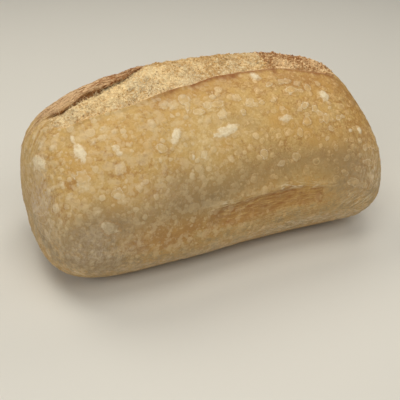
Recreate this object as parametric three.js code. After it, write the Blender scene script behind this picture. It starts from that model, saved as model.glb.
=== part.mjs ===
// A whole wheat sourdough loaf: one long, chunky loaf, baked without a tin and not yet cut.
//
// Millimetres, +Z up. X runs along the loaf and Y across it: the wide face of crust below the
// score looks towards -Y, and the ear lies on the +Y side of the score. The loaf stands on its
// flat base at Z = 0, with the origin on that base, in the middle of the loaf's box.
//
// The surface is a grid. A "station" is one slice across the loaf, and "along" is its place,
// from -1 at the left tip to +1 at the right tip. "round" is the angle in a slice, in degrees:
// 0 is the -Y side, 90 the crest, 180 the +Y side and 270 (or -90) the base.

import * as THREE from 'three';

// ---- driving dimensions ----

const loafLength = 250;
const halfLength = loafLength / 2;
const halfWidth = 75.3;
const crownHeight = 79.6;      // from the widest level up to the crest
const bellyDepth = 46.4;       // from the widest level down, before the base is pressed flat
const widestLevel = 41;        // height of the widest level above the base
const baseRounding = 1.5;      // how gently the sides turn into the flat base

// The middle of the loaf's box, seen from the middle of its spine.
const boxMiddle = { x: -0.3, y: -2.4 };

// Roundness of the outlines: 2 is an ellipse, more is squarer.
const crownRoundness = 1.9;
const bellyRoundness = 2.35;
const planRoundness = { left: 3.9, right: 6.6 };    // the outline seen from above
const sideRoundness = { left: 4.8, right: 4.3 };    // the outline seen from the side

const widerToTheRight = 0.04;
const tallerToTheRight = 0.03;
const crownDropAtTips = 0.07;
const bowTowardsNear = 0.09;   // both tips curve towards -Y, as a share of the half length

// The score runs from tip to tip over the crest. Each list gives [along, value]: where the near lip
// lies and how wide the score is, both in degrees, and how far the crumb and the ear stand out.
const lipRound = [
  [-0.92, 86], [-0.78, 72.5], [-0.5, 70.5], [-0.12, 75.5], [0.1, 79.2], [0.45, 78.5], [0.88, 75.5],
];
const openingDegrees = [
  [-0.92, 5], [-0.8, 12], [-0.6, 15.5], [-0.42, 21], [-0.22, 36], [0.1, 42], [0.5, 35], [0.88, 14],
];
const crumbStrength = [[-0.9, 0], [-0.74, 1], [0.72, 1], [0.88, 0]];
const earStrength = [
  [-0.93, 0], [-0.72, 0.75], [-0.52, 1], [-0.34, 0.6], [0, 0.4], [0.5, 0.35], [0.86, 0],
];

// The ear leans back in the middle of its raised stretch, by leanBack millimetres at most, and the
// hollow under it is shallower to the right of that stretch: a share of the depth in the slice.
const leanBack = 3.5;
const earLean = [[-0.74, 0], [-0.64, 1], [-0.56, 1], [-0.46, 0]];
const hollowDepth = [[-0.62, 0.8], [-0.46, 0.2]];

// The slice through the score, from the near lip to the ear and down its back, in millimetres.
// share: of the opening; shut and open: further across, where the ear lies flat and where it
// stands up; high: above the smooth skin; lean: how much of the ear's lean a point takes; part:
// which strength scales the height.
const scoreSlice = [
  { share: 0, shut: -12, open: -12, high: 0, lean: 0, part: 'lip' },
  { share: 0, shut: -4, open: -4, high: 0.5, lean: 0, part: 'lip' },
  { share: 0, shut: -1, open: -1, high: 1.3, lean: 0, part: 'lip' },
  { share: 0, shut: 0.8, open: 0.8, high: -1.3, lean: 0, part: 'crumb' },
  { share: 0.2, shut: 0, open: 0, high: 0.3, lean: 0, part: 'crumb' },
  { share: 0.45, shut: 0, open: 0, high: 2.2, lean: 0, part: 'crumb' },
  { share: 0.7, shut: 0, open: 0, high: 2.4, lean: 0, part: 'crumb' },
  { share: 0.92, shut: 0, open: 0, high: -0.4, lean: 0, part: 'crumb' },
  { share: 1, shut: 0, open: 2, high: -5.5, lean: 0, part: 'ear' },
  { share: 1, shut: 1.5, open: 8, high: -6, lean: 0, part: 'ear' },
  { share: 1, shut: 3, open: 6, high: -2.2, lean: 0.6, part: 'ear' },
  { share: 1, shut: 4.5, open: 1, high: 1.8, lean: 1, part: 'ear' },
  { share: 1, shut: 6, open: 0, high: 3.9, lean: 1, part: 'ear' },
  { share: 1, shut: 8, open: 2.5, high: 4.9, lean: 0.9, part: 'ear' },
  { share: 1, shut: 12, open: 9, high: 4.5, lean: 0.35, part: 'ear' },
  { share: 1, shut: 22, open: 20, high: 2.4, lean: 0, part: 'ear' },
  { share: 1, shut: 36, open: 36, high: 0, lean: 0, part: 'ear' },
];

// Torn crumb: soft lumps along the score, and rougher toasted crags from cragStart to its end.
// Each pattern is a wave along times a wave across, and each wave wanders with the other direction.
const crumbLumps = {
  height: 0.7,
  lift: 0,
  along: 0.42,
  across: 0.5,
  wander: [1.7, 0.29],
  stray: [1.3, 0.21],
};
const crags = {
  height: 0.72,
  lift: 0.48,
  along: 1.13,
  across: 0.97,
  wander: [2, 0.61],
  stray: [2, 0.53],
};
const cragStart = 0.38;
const cragBlend = 0.02;
const tornFrom = [0.02, 0.25]; // shares of the opening where the torn relief sets in
const tornTo = [0.9, 1];       // and where it ends

// The sunken band low on the near side, under a thin ridge: places along the loaf, then millimetres.
const ledge = {
  from: -0.24,
  to: 0.62,
  fade: 0.12,
  ridgeHigh: 1,
  ridgeHalf: 2.8,
  sunk: 1.4,
  sunkFrom: 3,
  risesFrom: 10.2,
  sunkTo: 17,
};
const ledgeRidgeRound = [[-0.24, 9], [0.3, 11.5], [0.6, 8]];

// Where the loaf swells or sinks a little: [along, round, reach in mm, height in mm].
const swellings = [
  [0.84, 86, 20, 1.6],
  [0.93, 62, 24, -1.4],
  [0.66, 92, 20, -2],
  [0.5, 112, 26, -1.5],
  [-0.08, 106, 28, 1],
  [-0.97, 40, 26, -1],
  [-0.95, -42, 18, -1.6],
  [-1, -95, 26, 1.8],
  [-0.72, -28, 20, -0.8],
  [0.98, -6, 22, -1.2],
  [0.42, -14, 26, -1],
  [0.8, -32, 18, 1.8],
  [0, -30, 40, 0.9],
  [0.1, 205, 40, 1.6],
  [-0.55, 175, 30, -1.5],
  [0.6, 165, 30, 1.4],
];

// Slow waves over the whole crust: [height in mm, along, turns round, phase].
const waves = [[0.8, 4.1, 1, 0.6], [0.6, 6.7, 2, 2.1], [0.45, 9.8, 3, 4.0], [0.3, 15, 5, 1.3]];

// The base is pressed smooth: relief starts at reliefFrom above it and is whole at reliefFull.
const reliefFrom = 4;
const reliefFull = 20;

// Near the tips all relief dies away. These are shares of the full width: where the score is whole,
// where the relief of the crust is whole, and the least share of the height that the score reckons with.
const scoreWidths = [0.25, 0.7];
const reliefWidths = [0, 0.3];
const leastTall = 0.3;

// Grid: slices along the loaf, and columns round a slice. Each stop is [column, round], and null
// stands for the start of the score.
const slices = 70;
const nearStops = [[0, -90], [5, -30], [7, -9], [16, 18], [24, null]];
const scoreColumns = 29;
const farColumns = 20;
const outlineSteps = 2000;     // fine steps round the plan outline, to space the slices evenly
const normalStep = 1e-3;       // radians

const crustColour = 0xc9a266;

// ---- small tools ----

const radians = Math.PI / 180;

function easeBetween(from, to, x) {
  const s = Math.min(Math.max((x - from) / (to - from), 0), 1);
  return s * s * (3 - 2 * s);
}

// The same between a pair of values.
function easeOver(pair, x) {
  return easeBetween(pair[0], pair[1], x);
}

function mix(a, b, share) {
  return a + (b - a) * share;
}

// A smooth value through a list of [place, value].
function along(list, place) {
  let value = list[0][1];
  for (let i = 1; i < list.length; i += 1) {
    value += (list[i][1] - list[i - 1][1]) * easeBetween(list[i - 1][0], list[i][0], place);
  }
  return value;
}

function superellipse(angle, power) {
  const c = Math.abs(Math.cos(angle));
  const s = Math.abs(Math.sin(angle));
  const reach = (c ** power + s ** power) ** (-1 / power);
  return { c: Math.sign(Math.cos(angle)) * reach * c, s: Math.sign(Math.sin(angle)) * reach * s };
}

// ---- the smooth loaf ----

// How much of its full size an outline of this roundness has left at a place.
function sizeAt(place, roundness) {
  return Math.max(1 - Math.abs(place) ** roundness, 0) ** (1 / roundness);
}

// A station from its angle in the plan outline: 0 is the right tip and 180 the left one.
function stationAt(angle) {
  const side = Math.cos(angle) >= 0 ? 'right' : 'left';
  const plan = superellipse(angle, planRoundness[side]);
  return { angle, place: plan.c, wide: plan.s, tall: sizeAt(plan.c, sideRoundness[side]) };
}

function stationNear(place) {
  const side = place >= 0 ? 'right' : 'left';
  return { place, wide: sizeAt(place, planRoundness[side]), tall: sizeAt(place, sideRoundness[side]) };
}

function pressedFlat(z) {
  if (z >= baseRounding) return z;
  if (z <= -baseRounding) return 0;
  return (z + baseRounding) ** 2 / (4 * baseRounding);
}

function skinPoint(station, round) {
  const { place, wide, tall } = station;
  const upper = Math.sin(round) >= 0;
  const slice = superellipse(round, upper ? crownRoundness : bellyRoundness);
  const crown = crownHeight * (1 + tallerToTheRight * place) * (1 - crownDropAtTips * place * place);
  const x = halfLength * place;
  const spine = -bowTowardsNear * halfLength * place ** 2;
  const y = spine - halfWidth * wide * slice.c * (1 + widerToTheRight * place);
  const z = (upper ? crown : bellyDepth) * tall * slice.s + widestLevel;
  return new THREE.Vector3(x, y, z);
}

function skinNormal(station, round) {
  const step = normalStep;
  const clear = step / 10;
  const acrossStep = skinPoint(station, round + step).sub(skinPoint(station, round - step));
  const before = stationAt(Math.max(station.angle - step, clear));
  const after = stationAt(Math.min(station.angle + step, Math.PI - clear));
  const alongStep = skinPoint(after, round).sub(skinPoint(before, round));
  return acrossStep.cross(alongStep).normalize();
}

// ---- relief on the skin, in millimetres outwards ----

function ledgeRelief(place, round) {
  const below = (along(ledgeRidgeRound, place) * radians - round) * halfWidth;
  const reach = easeBetween(ledge.from, ledge.from + ledge.fade, place)
    * (1 - easeBetween(ledge.to - ledge.fade, ledge.to, place));
  const ridge = ledge.ridgeHigh * Math.exp(-((below / ledge.ridgeHalf) ** 2));
  const sunk = ledge.sunk * easeBetween(0, ledge.sunkFrom, below)
    * (1 - easeBetween(ledge.risesFrom, ledge.sunkTo, below));
  return reach * (ridge - sunk);
}

function swellingRelief(skin) {
  let high = 0;
  for (const [place, degrees, reach, height] of swellings) {
    const middle = skinPoint(stationNear(place), degrees * radians);
    high += height * Math.exp(-skin.distanceToSquared(middle) / (reach * reach));
  }
  return high;
}

function waveRelief(place, round) {
  let high = 0;
  for (const [height, frequency, turns, phase] of waves) {
    high += height * Math.sin(frequency * place + phase) * Math.cos(turns * round + phase * frequency);
  }
  return high;
}

function lumpy(pattern, x, across) {
  const [wander, wanderTurns] = pattern.wander;
  const [stray, strayTurns] = pattern.stray;
  const alongWave = Math.sin(pattern.along * x + wander * Math.sin(wanderTurns * across));
  const acrossWave = Math.sin(pattern.across * across + stray * Math.sin(strayTurns * x));
  return pattern.lift + pattern.height * alongWave * acrossWave;
}

function tornRelief(x, across, place) {
  const toasted = easeBetween(cragStart, cragStart + cragBlend, place);
  return mix(lumpy(crumbLumps, x, across), lumpy(crags, x, across), toasted);
}

// ---- the score ----

function strengthOf(part, place) {
  return along(part === 'ear' ? earStrength : crumbStrength, place);
}

// A point of the score's slice at this place, smoothly between two of its named points.
function sliceAt(share, place) {
  const last = scoreSlice.length - 1;
  const i = Math.min(Math.floor(share * last), last - 1);
  const s = share * last - i;
  const picked = [i - 1, i, i + 1, i + 2].map((n) => scoreSlice[Math.min(Math.max(n, 0), last)]);
  const smooth = (name) => {
    const [before, a, b, after] = picked.map((point) => point[name]);
    const slopeA = (b - before) / 2;
    const slopeB = (after - a) / 2;
    const cubic = 2 * a - 2 * b + slopeA + slopeB;
    const square = 3 * b - 3 * a - 2 * slopeA - slopeB;
    return cubic * s ** 3 + square * s ** 2 + slopeA * s + a;
  };
  return {
    share: smooth('share'),
    shut: smooth('shut'),
    open: smooth('open'),
    high: smooth('high'),
    lean: smooth('lean'),
    strength: mix(strengthOf(picked[1].part, place), strengthOf(picked[2].part, place), s),
    inEar: picked[2].part === 'ear',
  };
}

function scorePoint(station, share) {
  const { place } = station;
  const cut = sliceAt(share, place);
  const girth = crownHeight * Math.max(station.tall, leastTall);
  const opening = along(openingDegrees, place) * radians * girth;
  const lean = leanBack * along(earLean, place) * cut.lean;
  const across = cut.share * opening + mix(cut.shut, cut.open, along(earStrength, place)) + lean;
  const depth = cut.inEar && cut.high < 0 ? along(hollowDepth, place) : 1;
  const inCrumb = easeOver(tornFrom, cut.share) * (1 - easeOver(tornTo, cut.share));
  const torn = inCrumb * along(crumbStrength, place);
  const high = cut.high * depth * cut.strength + torn * tornRelief(halfLength * place, across, place);
  return { round: along(lipRound, place) * radians + across / girth, high };
}

// ---- the grid ----

// Stations evenly spaced along the plan outline, so that the tips get no crowd of slices.
function evenStations(count) {
  const lengths = [0];
  let last = skinPoint(stationAt(0), 0);
  for (let i = 1; i <= outlineSteps; i += 1) {
    const next = skinPoint(stationAt(Math.PI * i / outlineSteps), 0);
    lengths.push(lengths[i - 1] + next.distanceTo(last));
    last = next;
  }
  const stations = [];
  let i = 0;
  for (let n = 1; n < count; n += 1) {
    const wanted = lengths[outlineSteps] * n / count;
    while (lengths[i + 1] < wanted) i += 1;
    const share = (wanted - lengths[i]) / (lengths[i + 1] - lengths[i]);
    stations.push(stationAt(Math.PI * (i + share) / outlineSteps));
  }
  return stations;
}

function sliceColumns(station) {
  const start = scorePoint(station, 0).round;
  const end = scorePoint(station, 1).round;
  const columns = [];
  for (let stop = 1; stop < nearStops.length; stop += 1) {
    const [from, a] = nearStops[stop - 1];
    const [to, b] = nearStops[stop];
    for (let n = from; n < to; n += 1) {
      const last = b === null ? start : b * radians;
      columns.push({ round: mix(a * radians, last, (n - from) / (to - from)), high: 0 });
    }
  }
  for (let n = 0; n < scoreColumns; n += 1) columns.push(scorePoint(station, n / (scoreColumns - 1)));
  for (let n = 1; n <= farColumns; n += 1) {
    columns.push({ round: mix(end, 270 * radians, n / (farColumns + 1)), high: 0 });
  }
  return columns;
}

function loafPoint(station, column, evenRound) {
  // Near the tips the columns fan out evenly and the score's relief dies away.
  const settled = easeOver(scoreWidths, station.wide);
  const round = mix(evenRound, column.round, settled);
  const skin = skinPoint(station, round);
  const clearOfBase = easeBetween(reliefFrom, reliefFull, skin.z) * easeOver(reliefWidths, station.wide);
  const onLedge = ledgeRelief(station.place, round);
  const slow = onLedge + swellingRelief(skin) + waveRelief(station.place, round);
  const relief = column.high * settled + clearOfBase * slow;
  const point = skin.addScaledVector(skinNormal(station, round), relief);
  point.z = pressedFlat(point.z);
  return point;
}

function loafGeometry() {
  const stations = evenStations(slices);
  const points = [];
  const tip = (angle) => points.push(skinPoint(stationAt(angle), 0).setZ(widestLevel));
  tip(0);
  const columnCount = nearStops[nearStops.length - 1][0] + scoreColumns + farColumns;
  for (const station of stations) {
    sliceColumns(station).forEach((column, n) => {
      const evenRound = mix(-90, 270, n / columnCount) * radians;
      points.push(loafPoint(station, column, evenRound));
    });
  }
  tip(Math.PI);

  const faces = [];
  const at = (row, n) => 1 + row * columnCount + (n % columnCount);
  for (let n = 0; n < columnCount; n += 1) {
    faces.push(0, at(0, n + 1), at(0, n));
    faces.push(points.length - 1, at(stations.length - 1, n), at(stations.length - 1, n + 1));
    for (let row = 1; row < stations.length; row += 1) {
      faces.push(at(row - 1, n), at(row, n + 1), at(row, n));
      faces.push(at(row - 1, n), at(row - 1, n + 1), at(row, n + 1));
    }
  }
  const geometry = new THREE.BufferGeometry().setFromPoints(points);
  geometry.setIndex(faces);
  geometry.translate(-boxMiddle.x, -boxMiddle.y, 0);
  geometry.computeVertexNormals();
  return geometry;
}

const loaf = new THREE.Mesh(
  loafGeometry(),
  new THREE.MeshStandardMaterial({ color: crustColour, roughness: 0.62, metalness: 0 }),
);
loaf.name = 'loaf';

const group = new THREE.Group();
group.add(loaf);

export default group;
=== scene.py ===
"""The looks of a whole wheat sourdough loaf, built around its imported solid.

The loaf lies along X and stands on Z = 0. Its wide face of crust looks towards -Y, and the score
runs over the crest from the left tip (-X) to the right tip. Lengths in the tables are millimetres
where the name ends in _MM; everything that reaches Blender is in metres.

A slice across the loaf is found by "place", from -1 at the left tip to +1 at the right tip, and a
point in a slice by "round", the angle in degrees: 0 is the -Y side, 90 the crest, 180 the +Y side.
"""

from functools import cache, partial, reduce
from types import SimpleNamespace

import bpy
import numpy as np
from bpy.props import FloatProperty, FloatVectorProperty, IntProperty, PointerProperty
from mathutils import Matrix, Vector, noise


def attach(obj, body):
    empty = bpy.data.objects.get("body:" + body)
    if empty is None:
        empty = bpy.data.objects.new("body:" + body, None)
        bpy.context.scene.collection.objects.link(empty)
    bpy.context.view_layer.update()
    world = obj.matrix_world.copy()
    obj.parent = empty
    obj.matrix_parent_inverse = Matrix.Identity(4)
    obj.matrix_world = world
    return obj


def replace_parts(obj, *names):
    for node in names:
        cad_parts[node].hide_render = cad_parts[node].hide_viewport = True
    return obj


bl_info = {
    "name": "Sourdough Loaf",
    "version": (1, 0, 0),
    "blender": (4, 5, 0),
    "location": "3D View > Sidebar > Loaf",
    "description": "Crust, torn crumb and toasted crags of a whole wheat sourdough loaf",
    "category": "Object",
}

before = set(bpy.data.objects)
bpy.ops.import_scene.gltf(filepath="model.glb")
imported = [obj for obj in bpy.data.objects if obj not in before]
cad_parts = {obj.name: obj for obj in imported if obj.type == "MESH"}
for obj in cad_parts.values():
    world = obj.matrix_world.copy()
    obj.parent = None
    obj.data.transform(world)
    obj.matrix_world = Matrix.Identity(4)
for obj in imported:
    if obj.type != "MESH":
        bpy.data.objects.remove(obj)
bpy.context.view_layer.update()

MM = 0.001
BODY = "root"
NODE = "loaf"
SKIN_MAP = "skin_mm"  # where a point lies on the smooth loaf, in millimetres: what the patterns follow
FOLD_MAP = "fold_place"  # the same for the creases: along them, across them, and one value a patch

# ---------------------------------------------------------------- the loaf's form, as its solid has it

HALF_LENGTH_MM = 125.0
HALF_WIDTH_MM = 75.3
CROWN_HEIGHT_MM = 79.6
BELLY_DEPTH_MM = 46.4
WIDEST_LEVEL_MM = 41.0
BASE_ROUNDING_MM = 1.5
BOX_MIDDLE_MM = np.array((-0.3, -2.4, 0.0))

CROWN_ROUNDNESS = 1.9
BELLY_ROUNDNESS = 2.35
PLAN_ROUNDNESS = {"left": 3.9, "right": 6.6}
SIDE_ROUNDNESS = {"left": 4.8, "right": 4.3}
WIDER_TO_THE_RIGHT = 0.04
TALLER_TO_THE_RIGHT = 0.03
CROWN_DROP_AT_TIPS = 0.07
BOW_TOWARDS_NEAR = 0.09

LIP_ROUND = [(-0.92, 86), (-0.78, 72.5), (-0.5, 70.5), (-0.12, 75.5), (0.1, 79.2), (0.45, 78.5), (0.88, 75.5)]
OPENING = [(-0.92, 5), (-0.8, 12), (-0.6, 15.5), (-0.42, 21), (-0.22, 36), (0.1, 42), (0.5, 35), (0.88, 14)]
CRUMB_STRENGTH = [(-0.9, 0), (-0.74, 1), (0.72, 1), (0.88, 0)]
EAR_STRENGTH = [(-0.93, 0), (-0.72, 0.75), (-0.52, 1), (-0.34, 0.6), (0, 0.4), (0.5, 0.35), (0.86, 0)]

# The slice through the score: share of the opening, further across (mm) with the ear shut and open,
# height (mm), and which strength scales that height (0 crumb, 1 ear).
SCORE_SLICE = np.array([
    (0, -12, -12, 0, 0),
    (0, -4, -4, 0.5, 0),
    (0, -1, -1, 1.3, 0),
    (0, 0.8, 0.8, -1.3, 0),
    (0.2, 0, 0, 0.3, 0),
    (0.45, 0, 0, 2.2, 0),
    (0.7, 0, 0, 2.4, 0),
    (0.92, 0, 0, -0.4, 0),
    (1, 0, 2, -5.5, 1),
    (1, 1.5, 8, -6, 1),
    (1, 3, 6, -2.2, 1),
    (1, 4.5, 1, 1.8, 1),
    (1, 6, 0, 3.9, 1),
    (1, 8, 2.5, 4.9, 1),
    (1, 12, 9, 4.5, 1),
    (1, 22, 20, 2.4, 1),
    (1, 36, 36, 0, 1),
])
LEAN_BACK_MM = 3.5  # how far the ear leans away from the crumb, where the hollow under it shows
LEAN_BACK_PLACES = (-0.74, -0.64, -0.56, -0.46)  # where that starts, is whole, starts to end and has ended
LEAN_BACK_SPOTS = (9.2, 10.6, 12.5, 15)  # the same across the score, in spots of its slice
HOLLOW_CLOSES = (-0.62, -0.46)  # between these places the ear comes down close on the crumb
HOLLOW_DEPTHS = (0.8, 0.2)  # share of the slice's depth, left and right of them
CRUMB_SHARES = (0.02, 0.25, 0.9, 1)  # of the opening: where the torn relief starts, is whole, ends
LEAST_GIRTH = 0.3  # of the crown's height: keeps the score's width at the low tips
CRUMB_LUMP_MM = 0.7
CRAG_HEIGHT_MM = 1.2
CRAG_START = 0.38
CRAG_FADE = 0.02

LEDGE = {"from": -0.24, "to": 0.62, "fade": 0.12, "ridge_high": 1.0, "ridge_half": 2.8, "sunk": 1.4,
         "sunk_from": 3, "sunk_to": 17}
LEDGE_RIDGE_ROUND = [(-0.24, 9), (0.3, 11.5), (0.6, 8)]

# Where the loaf swells or sinks: place, round, reach and height in mm.
SWELLINGS = [
    (0.84, 86, 20, 1.6), (0.93, 62, 24, -1.4), (0.66, 92, 20, -2), (0.5, 112, 26, -1.5),
    (-0.08, 106, 28, 1), (-0.97, 40, 26, -1), (-0.95, -42, 18, -1.6), (-1, -95, 26, 1.8),
    (-0.72, -28, 20, -0.8), (0.98, -6, 22, -1.2), (0.42, -14, 26, -1), (0.8, -32, 18, 1.8),
    (0, -30, 40, 0.9), (0.1, 205, 40, 1.6), (-0.55, 175, 30, -1.5), (0.6, 165, 30, 1.4),
]
# Slow waves over the crust: height in mm, frequency along, turns round, phase.
WAVES = [(0.8, 4.1, 1, 0.6), (0.6, 6.7, 2, 2.1), (0.45, 9.8, 3, 4.0), (0.3, 15, 5, 1.3)]
RELIEF_FROM_MM = 4  # above the base, which stays flat
RELIEF_FULL_MM = 20

# ---------------------------------------------------------------- the fine surface

SLICES = 304
OUTLINE_STEPS = 4001  # for measuring how long the outline is
SETTLED = (0.25, 0.7)  # shares of the width between which the columns come to follow the score
CLEAR_OF_TIPS = (0, 0.3)  # shares of the width between which the relief comes in
NEAR_STOPS = [(0, -90), (6, -58), (128, None)]  # column and round; None is where the score starts
SCORE_COLUMNS = [7, 6, 6, 9, 11, 11, 11, 9, 5, 5, 4, 4, 5, 7, 8, 8]  # in each stretch of the score's slice
FAR_STOPS = [(0, None), (66, 238), (72, 270)]

# The larger blisters: place, round, half sizes in mm, lean in degrees (0 along the loaf), whiteness from
# 0 to 1. Those whiter than BOLD have a weaker rim.
PALE_BLISTERS = [
    (-0.96, 68, 10.0, 2.3, -85, 0.95), (-0.78, 55, 6.6, 2.8, -85, 1), (-0.79, 64, 3.4, 1.1, -90, 0.7),
    (-0.61, 50, 2.7, 1.8, -45, 0.7), (-0.60, 47, 2.1, 1.3, -35, 0.7), (-0.29, 48, 5.3, 2.7, 60, 1),
    (-0.01, 45, 8.4, 3.2, 10, 1), (-0.23, 36, 1.9, 1.0, 75, 0.8), (0.29, 74, 4.0, 3.0, -30, 0.95),
    (0.34, 67, 2.7, 1.9, 30, 0.45), (0.64, 58, 4.5, 3.1, 65, 1), (0.35, 46, 3.8, 2.4, 0, 0.75),
    (0.41, 38, 2.9, 2.0, 65, 0.4), (0.72, 37, 1.7, 1.2, 35, 1), (0.79, 37, 2.6, 1.7, 50, 0.9),
    (0.60, 38, 2.2, 1.5, -80, 0.5), (0.66, 22, 2.7, 1.5, 35, 0.4), (0.36, 26, 2.9, 2.6, 5, 0.45),
    (0.17, 30, 2.7, 2.5, 55, 0.4), (0.26, 24, 2.7, 1.8, 20, 0.55), (0.56, 63, 3.4, 2.2, 40, 0.4),
    (0.45, 62, 4.0, 2.7, 30, 0.3), (0.49, 52, 3.4, 2.2, 25, 0.5), (0.54, 50, 2.9, 1.8, 55, 0.45),
    (0.59, 44, 3.7, 2.5, 50, 0.45), (0.67, 44, 2.9, 1.6, 40, 0.5), (0.47, 43, 3.1, 2.4, 25, 0.3),
    (0.60, 28, 2.4, 1.6, 70, 0.3), (-0.17, 67, 4.2, 3.4, 0, 0.3), (-0.17, 62, 4.1, 1.2, 65, 0.35),
    (0.00, 60, 4.3, 2.3, 0, 0.3), (-0.12, 58, 3.5, 2.3, -5, 0.3), (-0.72, 13, 4.6, 3.6, -45, 0.58),
    (-0.39, 44, 3.9, 2.6, -15, 0.3), (-0.80, 41, 5.0, 3.9, -80, 0.25), (-0.66, 29, 3.1, 2.8, -35, 0.25),
    (-0.35, 190, 5.0, 2.6, 20, 0.8), (0.20, 150, 7.0, 3.0, -15, 0.9), (0.62, 172, 4.4, 2.8, 10, 0.8),
    (0.70, 8, 4.6, 2.8, -30, 0.3), (0.64, 14, 2.9, 1.8, -30, 0.3), (0.73, 15, 3.5, 1.9, -25, 0.35),
    (0.77, 5, 4.0, 1.9, -30, 0.35), (0.69, 0, 2.8, 1.9, -30, 0.3), (0.81, 18, 5.6, 2.2, -15, 0.35),
    (0.90, 27, 6.5, 2.2, 0, 0.35), (0.82, 28, 2.8, 1.7, -5, 0.3),
    (-0.70, 150, 5.0, 3.0, 70, 0.9), (0.85, 140, 3.4, 2.2, 30, 0.7), (-0.10, 172, 3.2, 2.2, 40, 0.6),
]
# Small blisters with a raised rim: place, round and radius in mm.
SMALL_BLISTERS = [
    (-0.88, 67, 3.4), (-0.87, 60, 2.0), (-0.92, 76, 2.8), (-0.86, 71, 3.2), (-0.64, 62, 2.4),
    (-0.66, 58, 2.7), (-0.70, 58, 2.0), (-0.86, 54, 2.0), (-0.89, 53, 1.2), (-0.84, 45, 1.2),
    (-0.62, 40, 3.8), (-0.88, 34, 2.5), (-0.90, 43, 2.2), (-0.94, 43, 2.3), (-0.80, 37, 4.0),
    (-0.64, 25, 3.1), (-0.55, 29, 2.8), (-0.77, 21, 2.5),
    (-0.29, 66, 3.7), (-0.24, 65, 3.7), (-0.06, 61, 2.9), (-0.01, 65, 2.2), (0.12, 62, 3.1), (0.18, 58, 3.4),
    (-0.20, 57, 1.8), (0.12, 53, 2.2), (0.00, 54, 3.5), (-0.17, 36, 2.6), (0.46, 68, 2.7), (0.51, 66, 2.6),
    (0.42, 68, 2.6), (0.65, 67, 2.3), (0.51, 61, 2.0), (0.45, 50, 1.9), (0.56, 47, 1.9), (0.65, 53, 1.6),
    (0.64, 50, 1.6), (0.63, 43, 1.2), (0.70, 45, 1.8), (0.55, 43, 1.5), (0.48, 47, 1.8), (0.35, 52, 1.8),
    (0.32, 57, 1.8), (0.25, 57, 2.0), (0.21, 56, 1.6), (0.26, 51, 1.1), (0.68, 31, 0.9), (0.77, 31, 2.0),
    (0.56, 33, 1.7), (0.75, 23, 1.6), (0.73, 27, 1.2), (0.80, 27, 2.5),
]
BOLD = 0.6
BOLD_RIM = 0.4
FAINT_RIM = 0.75
FAINTER = 0.9
SMALL_WHITENESS = 0.45
SMALL_RIM = (0.2, 0.7)  # left of place -0.8, and right of 0.3
SMALL_FLATNESS = 0.8  # height over width of a small blister, seen square on
SMALL_LEAN = 40  # degrees
BLISTER_FADE = 2.0  # where a large blister's field ends, in its half sizes

# Browner patches of crust: place, round, reach along and up in mm, strength.
BROWN_PATCHES = [
    (0.36, 4, 28, 7.5, 0.2), (0.0, 1, 24, 9, 0.5), (-0.5, 1, 24, 14, 1.05), (-0.1, 50, 50, 18, -0.25),
    (0.05, 70, 30, 6, 0.2), (0.55, 70, 34, 9, 0.5), (0.82, 42, 14, 20, 0.2), (-0.86, 41, 6, 5, 0.4),
    (-0.5, 30, 18, 16, 0.1), (-0.2, 36, 30, 16, -0.15), (-0.75, 0, 30, 22, -0.4), (0.5, 20, 36, 10, -0.15),
    (-0.97, 50, 5, 6, 0.3), (-0.62, 38, 7, 5, 0.3), (0.3, 190, 60, 14, 0.5), (-0.4, 165, 34, 20, 0.35),
    (0, 235, 120, 16, 0.3), (0.7, 150, 20, 20, 0.35), (0.45, 60, 34, 14, 0.15), (0.86, 60, 14, 16, 0.3),
]
# Painted shade: where the crust is painted duller and darker to stand in for shade: place, round, reach along
# and up in mm, strength.
PAINTED_SHADE_PATCHES = [
    (0.05, 22, 34, 13, 0.5), (0.45, 24, 36, 10, 0.5), (-0.33, 27, 18, 10, 0.45), (-0.8, -12, 24, 16, 0.7),
    (0.7, 15, 22, 20, 0.6), (-0.3, 14, 38, 11, 0.7), (-0.76, 14, 24, 16, 0.7),
]
# Where flour lies: place, round, reach along and up in mm, strength.
FLOUR_PATCHES = [
    (-1.0, 40, 6, 40, 0.8), (-0.8, -2, 26, 22, 0.45), (0.5, -24, 60, 9, 0.6), (-0.5, -28, 60, 10, 0.6),
    (0.85, 4, 24, 24, 0.45), (0, 205, 90, 20, 0.4), (0.92, 190, 20, 26, 0.4), (-0.45, 24, 20, 10, 0.25),
]
# Fine folds in the skin: place, round, reach along and up in mm, lean of the folds in degrees, strength.
FOLDS = [
    (0.45, -24, 62, 14, 2, 0.85), (0.87, 10, 12, 24, 75, 0.75), (0.76, -8, 16, 13, 40, 0.8),
    (-0.99, 25, 8, 46, 86, 0.35), (0.3, -8, 34, 9, 6, 0.4), (-0.72, -6, 24, 20, 80, 0.22),
    (-0.93, 84, 12, 9, 28, 0.5), (0.1, 214, 70, 12, 2, 0.8), (-0.9, 190, 14, 30, 70, 0.6),
]
# Stretched strands beside the ear's ends: place, round, reach along and up in mm, strength.
STRETCHED = [(-0.93, 84, 15, 13, 0.85), (-1.0, 80, 6, 10, 0.4), (0.6, 118, 30, 5, 0.5)]
FOLD_LENGTH_MM = 15
FOLD_SPACING_MM = 2.6
LEDGE_FOLD_SPACING_MM = 2.0

FOLD_SEED_STEP = 7.3  # sets the pattern of one patch of folds apart from the next
LEDGE_FOLDS = {"above": 0.4, "half": 2.2, "least": 0.25}  # mm above the ridge, mm each way, least strength

# Noise over the skin: its grain in mm (one value, or one an axis), octaves and seed.
CLOUDS = {
    "long streaks": ((24, 1.9, 1.9), 2, 9.0), "short streaks": ((10, 0.9, 0.9), 2, 31.0),
    "lumps": (2.2, 3, 21.0), "tears": ((11, 6, 8), 2, 43.0), "broken ridge": ((7, 90, 90), 2, 15.0),
    "wavy lip": (7.0, 3, 71.0), "ragged edge": (4.0, 2, 63.0),
}

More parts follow.
